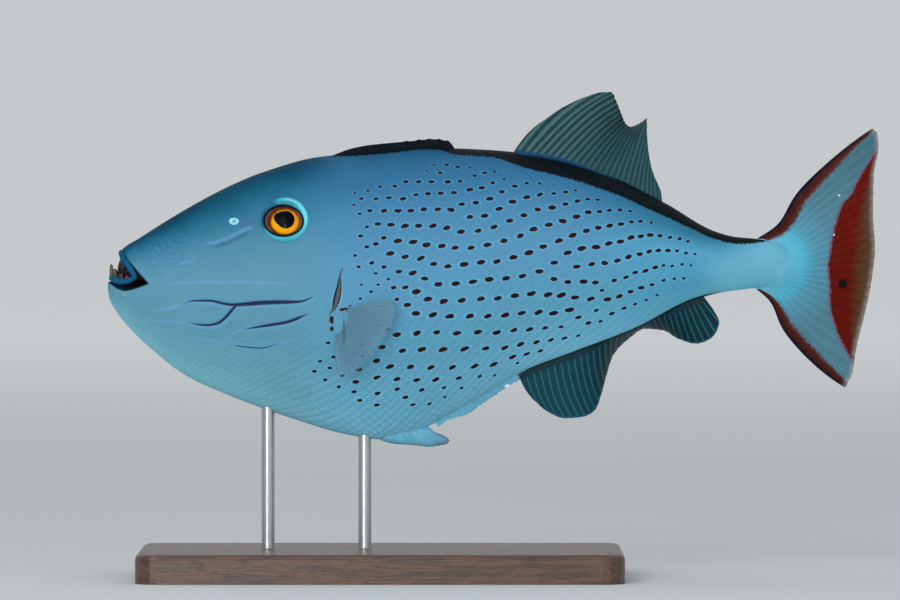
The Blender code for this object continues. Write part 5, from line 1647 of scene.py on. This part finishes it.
@dataclass
class FoldedSpines(Strand):
    """The first dorsal fin, folded into its groove: a dark strip with pleats and spine tips."""

    name, slot, nodes = "folded_spines", Slot.BLACK, ("first_dorsal_fin",)
    points: tuple = FOLDED_SPINES
    steps: tuple[int, int] = (220, 36)
    lowered: float = 2.0
    half_width: float = 1.5
    tips: tuple[float, ...] = (0.62, 0.72, 0.80, 0.88, 0.95)

    def radii(self, u: Array, angle: Array, *others: Array) -> tuple[Array, Array]:
        """Half widths with the pleats and tips, which stand on the upper half."""
        ends = rounded_ends(u, 0.05) * (0.3 + 0.7 * smooth(u, 0.0, 0.35))
        top = np.clip(np.sin(angle), 0.0, 1.0)
        tips = sum(bell(u, place, 0.018) for place in self.tips)
        pleats = 0.06 * np.sin(u * 260.0 + 3.0 * np.cos(angle)) * smooth(u, 0.2, 0.6)
        spine = 0.22 * bell(np.abs(np.cos(angle)), 0.35, 0.12)
        tall = self.lowered * (1.0 + top * (0.14 * tips * smooth(u, 0.5, 0.65) + pleats * 0.6))
        wide = self.half_width * (1.0 + pleats + 0.12 * tips * top)
        return wide * ends, (tall + spine * top) * ends ** 0.5


@dataclass
class PelvicSpine(Strand):
    """The short rough spine that ends the keel of the belly."""

    name, slot, nodes = "pelvic_spine_skin", Slot.SKIN, ("pelvic_spine",)
    points: tuple = PELVIC_SPINE
    steps: tuple[int, int] = (120, 32)
    half_width: float = 1.5

    def radii(self, u: Array, angle: Array, *others: Array) -> tuple[Array, Array]:
        """Half widths with small warts."""
        tall = others[0] * rounded_ends(u, 0.03)
        warts = 1.0 + 0.05 * np.sin(u * 130.0) * np.sin(angle * 9.0) * smooth(u, 0.3, 0.5)
        return self.half_width * np.minimum(1.0, tall / 1.6) * warts, tall * warts


@dataclass
class Eye(Piece):
    """An eyeball that looks out between the lids."""

    relief: Relief
    side: Side
    slot: Slot = Slot.EYE

    def __post_init__(self) -> None:
        """Names the piece after its side."""
        self.name = "eyeball_" + self.side.name.lower()
        self.nodes = ("eye_" + self.side.name.lower(),)

    def shape(self) -> BMesh:
        """A flattened ball, sunk below the smooth body."""
        mirror = Vector((1.0, float(self.side.value), 1.0))
        outward = Vector(self.relief.eye_out) * mirror
        middle = Vector(self.relief.eye) * mirror - outward * EYE_SUNK
        bm = bmesh.new()
        OPS.create_uvsphere(bm, u_segments=72, v_segments=44, radius=1.0)
        OPS.scale(bm, vec=(EYE_RADIUS, EYE_RADIUS, EYE_DEPTH), verts=bm.verts)
        turn = Vector((0, 0, 1)).rotation_difference(outward).to_matrix().to_4x4()
        OPS.transform(bm, matrix=Matrix.Translation(middle) @ turn, verts=bm.verts)
        return bm


@dataclass
class VentralFlap(Piece):
    """The thin flap behind the pelvic spine, with a saw-toothed edge."""

    name, slot, nodes = "belly_flap", Slot.SKIN, ("ventral_flap",)
    half: tuple[float, float] = (0.8, 0.22)

    def shape(self) -> BMesh:
        """A shell whose outer edge has the saw's teeth."""
        edge, first, last = Curve(FLAP_EDGE), FLAP_EDGE[0][0], FLAP_EDGE[-1][0]

        def place(u: Array, v: Array, w: Array) -> Array:
            x = first + (last - first) * u
            phase = np.abs((u * FLAP_TEETH + 0.3 * np.sin(u * 31.0)) % 1.0 - 0.5) * 2.0
            stands = (1.0 - phase) ** 1.3 * v ** 4 * (0.7 + 0.3 * np.sin(u * 47.0))
            ribs = 0.08 * (1.0 - phase) * smooth(v, 0.2, 0.7)
            half = self.half[0] + (self.half[1] - self.half[0]) * v + ribs
            off_x, off_z = (root * (1.0 - v) + tooth * stands
                for root, tooth in zip(FLAP_ROOT, FLAP_TOOTH))
            return np.column_stack([x + off_x, w * half, edge.value(x) + off_z])

        return mould(unit_shell(FLAP_TEETH * 7, 20), place)


@dataclass
class Fin(Piece):
    """A thin fin of rays that run from the body to a curved edge.

    root and tip give the ends of the ray at a share along the fin, and bow how far it bends in
    the fin's plane, as a share of its length. forks is how far a ray's branches part at its tip,
    sunk how far a ray starts inside the body, sinks which of x, y and z it goes in by, and swell
    how much thicker its base is.
    """

    name: str
    nodes: tuple[str, ...]
    slot: Slot
    rays: int
    root: Callable[[Array], Array]
    tip: Callable[[Array], Array]
    bow: Callable[[Array, Array], Array]
    half: tuple[float, float] = (0.62, 0.22)
    curl: float = 1.0
    forks: float = 0.16
    per_ray: int = 10
    rows: int = 44
    notch: float = 0.006
    sunk: float = 3.0
    sinks: tuple = (1.0, 0.0, 1.0)
    swell: float = 0.0

    def middle(self, u: Array, v: Array) -> Array:
        """Places on the fin's mid surface."""
        start, end = self.root(u), self.tip(u)
        start = start - unit((end - start) * np.array(self.sinks)) * self.sunk
        ray = end - start
        lift = mid_plane(-ray[:, 2], ray[:, 0]) * self.bow(u, v)[:, None]
        sway = ray * (0.0, 1.0, 0.0) * ((v ** 1.5 - v) * self.curl)[:, None]
        return start + ray * v[:, None] + lift + sway

    def ridge(self, u: Array, v: Array) -> Array:
        """1 on a ray or on one of its branches, 0 between them."""
        place = u * (self.rays - 1)
        parted = smooth(v, 0.35, 1.0)
        return bell(np.abs(place - np.round(place)), self.forks * parted, 0.17 - 0.05 * parted)

    def length(self, u: Array) -> Array:
        """Length of the ray at each place, with what is sunk in the body."""
        return np.linalg.norm(self.tip(u) - self.root(u), axis=1) + self.sunk

    def shape(self) -> BMesh:
        """A shell that is thick on the rays and at the base, and thin between and beyond."""
        def place(u: Array, v: Array, w: Array) -> Array:
            step = 1e-3
            ridge = self.ridge(u, v)
            v = v * (1.0 - self.notch * (1.0 - ridge) * smooth(v, 0.6, 1.0))
            across = self.middle(np.minimum(u + step, 1), v) - self.middle(np.maximum(u - step, 0), v)
            along = self.middle(u, np.minimum(v + step, 1)) - self.middle(u, np.maximum(v - step, 0))
            reach = v * self.length(u) - self.sunk
            thick = self.half[0] + (self.half[1] - self.half[0]) * v
            thick = thick * (1.0 - 0.55 * smooth(reach, 0.0, 6.0) * (1.0 - ridge))
            base = bell(np.maximum(reach + self.sunk - 1.0, 0.0), 0.0, 8.5)
            thick += self.swell * (1.0 - (2.0 * u - 1.0) ** 2) * base
            return self.middle(u, v) + unit(np.cross(across, along)) * (thick * w)[:, None]

        return mould(unit_shell((self.rays - 1) * self.per_ray, self.rows), place)

    def dress(self, mesh: Mesh) -> None:
        """Stores millimetres from the body and from the fin's edge."""
        u, v, _ = grid_of(mesh).T
        long = self.length(u)
        write_points(mesh, reach=v * long - self.sunk, trail=(1.0 - v) * long)


class TailFin(Fin):
    """The tail fin, with the fields of its crescent and of its dark edges."""

    def dress(self, mesh: Mesh) -> None:
        """Stores millimetres past the crescent's inner edge, and shares of the edge bands."""
        super().dress(mesh)
        u, v, _ = grid_of(mesh).T
        places = self.middle(u, v)
        x, z = places[:, 0], places[:, 2]
        rows = Curve(tuple((PHOTO_LOW + (PHOTO_Y - row) * PIXEL, (column - PHOTO_X) * PIXEL)
            for row, column in reversed(CRESCENT)))
        share = np.minimum(*(np.linalg.norm(places - self.middle(np.full(len(u), edge), v), axis=1)
            / Curve(widths).value(x) for edge, widths in ((0.0, TAIL_BAND_UP), (1.0, TAIL_BAND_LOW))))
        inside = smooth(self.sunk - v * self.length(u), 0.0, 1.5)
        write_points(mesh, crescent=np.clip(x - rows.value(z), -9.0, 18.0),
            edge=np.clip(share + 9.0 * inside, 0.0, 9.0))


@dataclass
class Fins:
    """All fins of the fish, each with its finish."""

    form: BodyForm

    @staticmethod
    def _hump(v: Array) -> Array:
        """How a ray bends along its length, most a little beyond its middle."""
        return 4 * v * (1 - v) * (0.6 + 0.8 * v)

    def _on_profile(self, span: tuple[float, float], profile: Curve) -> Callable[[Array], Array]:
        """Ray roots along the back or the belly, closer together at the fin's rear."""
        def root(u: Array) -> Array:
            x = span[0] + (span[1] - span[0]) * (1.3 * u - 0.3 * u * u)
            return mid_plane(x, profile.value(x))
        return root

    def build(self) -> None:
        """Makes the dorsal, anal, tail and pectoral fins."""
        # The dorsal fin's dark ray colour is partly painted shade of its pleated rays.
        dorsal = MembraneFinish("striped_dorsal_fin", (32, 62, 68), (66, 104, 106), (44, 86, 94),
            (26, 72, 110), DORSAL_RAYS, base_reach=0.65, base_end=34.0,
            clear=0.12, ray_half=0.24, fold=(44.0, 138.6, 3.4, 1.8))
        Fin("dorsal_fin", ("second_dorsal_fin",), Slot.CLEAR, DORSAL_RAYS,
            self._on_profile(DORSAL_ROOT_X, self.form.back), Curve(DORSAL_TIPS).at,
            lambda u, v: 0.06 * (1 - u) * self._hump(v), per_ray=8).build(dorsal.build())
        anal = MembraneFinish("dark_anal_fin", (34, 98, 108), (8, 58, 72), (0, 42, 56),
            (26, 48, 58), ANAL_RAYS, base_reach=2.2, clear=0.10, ray_half=0.1)
        Fin("anal_fin_skin", ("anal_fin",), Slot.CLEAR, ANAL_RAYS,
            self._on_profile(ANAL_ROOT_X, self.form.belly), Curve(ANAL_TIPS).at,
            lambda u, v: -0.07 * (1 - u) * self._hump(v), per_ray=8).build(anal.build())
        roots, bows = Curve(TAIL_ROOTS), Curve(TAIL_BOW)

        def bow(u: Array, v: Array) -> Array:
            arch, dip = bows.at(u).T
            return arch * self._hump(v) - dip * bell(v, 0.27, 0.13)

        TailFin("tail_fin", ("caudal_fin",), Slot.TAIL, TAIL_RAYS, lambda u: mid_plane(*roots.at(u).T),
            Curve(TAIL_TIPS).at, bow, half=(0.7, 0.2), rows=64, per_ray=12, forks=0.22, notch=0.003,
            sunk=7.5, swell=2.55).build(TailFinish().build())
        clear = MembraneFinish("clear_pectoral_fin", (92, 132, 148), (116, 156, 174), (108, 150, 174),
            (92, 144, 174), PECTORAL_RAYS, base_reach=0.8, clear=0.66, ray_half=0.1, joints=9.0, soft=2.4,
            fold=(-46.2, 77.0, 0.7, 6.2)).build()
        for side in Side:
            self._pectoral(side).build(clear)

    def _pectoral(self, side: Side) -> Fin:
        """The pectoral fin of one side."""
        roots, tips = Curve(PECTORAL_ROOTS), Curve(PECTORAL_TIPS)

        def off_body(x: Array, off: Array | float, z: Array) -> Array:
            return np.column_stack([x, side.value * (self.form.side(x, z) + off), z])

        def root(u: Array) -> Array:
            x, z = roots.at(u).T
            return off_body(x, 0.1, z)

        name = "pectoral_fin_" + side.name.lower()
        return Fin(name + "_skin", (name,), Slot.CLEAR, PECTORAL_RAYS, root,
            lambda u: off_body(*tips.at(u).T), lambda u, v: 0.05 * (1 - 2 * u) * self._hump(v),
            half=(0.36, 0.12), curl=-0.4, rows=36, notch=0.02, sunk=1.2, sinks=(1.0, 1.0, 1.0))


@dataclass
class Stand:
    """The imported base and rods, which keep their solids and get their own finishes."""

    def build(self) -> None:
        """Dresses the three solids."""
        wood, steel = WoodFinish().build(), SteelFinish().build()
        for name, material in (("stand_base", wood), ("stand_rod_front", steel),
                ("stand_rod_rear", steel)):
            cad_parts[name].material_slots[0].material = material
            LOG.info("%s dressed", name)


@dataclass
class Studio:
    """Floor, light and camera. Lengths are in metres, and the light's powers in watts."""

    aim: tuple = (AIM_X * MM, 0.0, AIM_Z * MM)
    distance: float = 2.4
    elevation: float = 1.0
    lens: float = 309.7
    film: float = 36.0
    reach: tuple[float, float] = (0.01, 100.0)
    floor: float = 30.0
    world: float = 0.60
    sky: tuple = (0.93, 0.97, 1.0, 1.0)
    lights: tuple = (("key", (-0.55, -1.30, 0.70), 0.8, 5.6), ("fill", (0.75, -1.20, 0.30), 0.5, 2.2),
        ("low", (-0.25, -1.00, 0.16), 0.26, 3.0), ("top", (0.0, 0.1, 1.6), 1.4, 1.6))

    def build(self) -> None:
        """Sets up the whole studio."""
        self._floor()
        self._lights()
        self._camera()

    def _floor(self) -> None:
        """A wide pale floor, which isn't part of the fish."""
        bm = unit_grid(1, 1)
        OPS.translate(bm, vec=(-0.5, -0.5, 0.0), verts=bm.verts)
        OPS.scale(bm, vec=(self.floor / MM, self.floor / MM, 1.0), verts=bm.verts)
        floor = new_mesh("floor", bm)
        floor.data.materials.append(FloorFinish().build())

    def _stand_back(self, name: str, kind: object, place: Vector) -> Object:
        """A lamp or camera at a place, turned to what the camera looks at."""
        obj = link(bpy.data.objects.new(name, kind))
        obj.location = place
        obj.rotation_euler = (Vector(self.aim) - place).to_track_quat("-Z", "Y").to_euler()
        return obj

    def _lights(self) -> None:
        """A pale sky and large soft lamps."""
        world = bpy.data.worlds.new("pale_sky")
        bpy.context.scene.world = world
        world.use_nodes = True
        sky = world.node_tree.nodes["Background"]
        sky.inputs[0].default_value, sky.inputs[1].default_value = self.sky, self.world
        for name, place, size, power in self.lights:
            lamp = bpy.data.lights.new(name, "AREA")
            lamp.shape, lamp.size, lamp.energy = "DISK", size, power
            self._stand_back(name, lamp, Vector(place))

    def _camera(self) -> None:
        """A long lens that looks straight at the fish's left side."""
        camera = bpy.data.cameras.new("camera")
        camera.lens, camera.sensor_width = self.lens, self.film
        camera.clip_start, camera.clip_end = self.reach
        tilt = math.radians(self.elevation)
        back = Vector((0.0, -math.cos(tilt), math.sin(tilt))) * self.distance
        bpy.context.scene.camera = self._stand_back("camera", camera, Vector(self.aim) + back)


def main() -> None:
    """Builds every piece of the fish, its stand and the studio."""
    logging.basicConfig(level=logging.INFO, format="%(message)s")
    bpy.context.scene.view_settings.view_transform = "Standard"
    Studio().build()
    form = BodyForm()
    relief = Relief(form)
    markings = Markings(form, relief)
    skin = SkinFinish().build()
    Skin(relief, markings).build(skin)
    ScaleCoat(relief, markings).build(skin)
    eye = EyeFinish().build()
    for side in Side:
        Eye(relief, side).build(eye)
    lip = LipFinish().build()
    Lip(form, "upper_lip", UPPER_LIP, (0.9, 1.08), ("upper_jaw",)).build(lip)
    Lip(form, "lower_lip", LOWER_LIP, (0.95, 1.0), ("lower_jaw",)).build(lip)
    Teeth(form).build(ToothFinish().build())
    MouthLining().build(GumFinish().build())
    FoldedSpines().build(SpineFinish().build())
    keel = KeelFinish().build()
    PelvicSpine().build(keel)
    VentralFlap().build(keel)
    Fins(form).build()
    Stand().build()


if __name__ == "__main__":
    main()
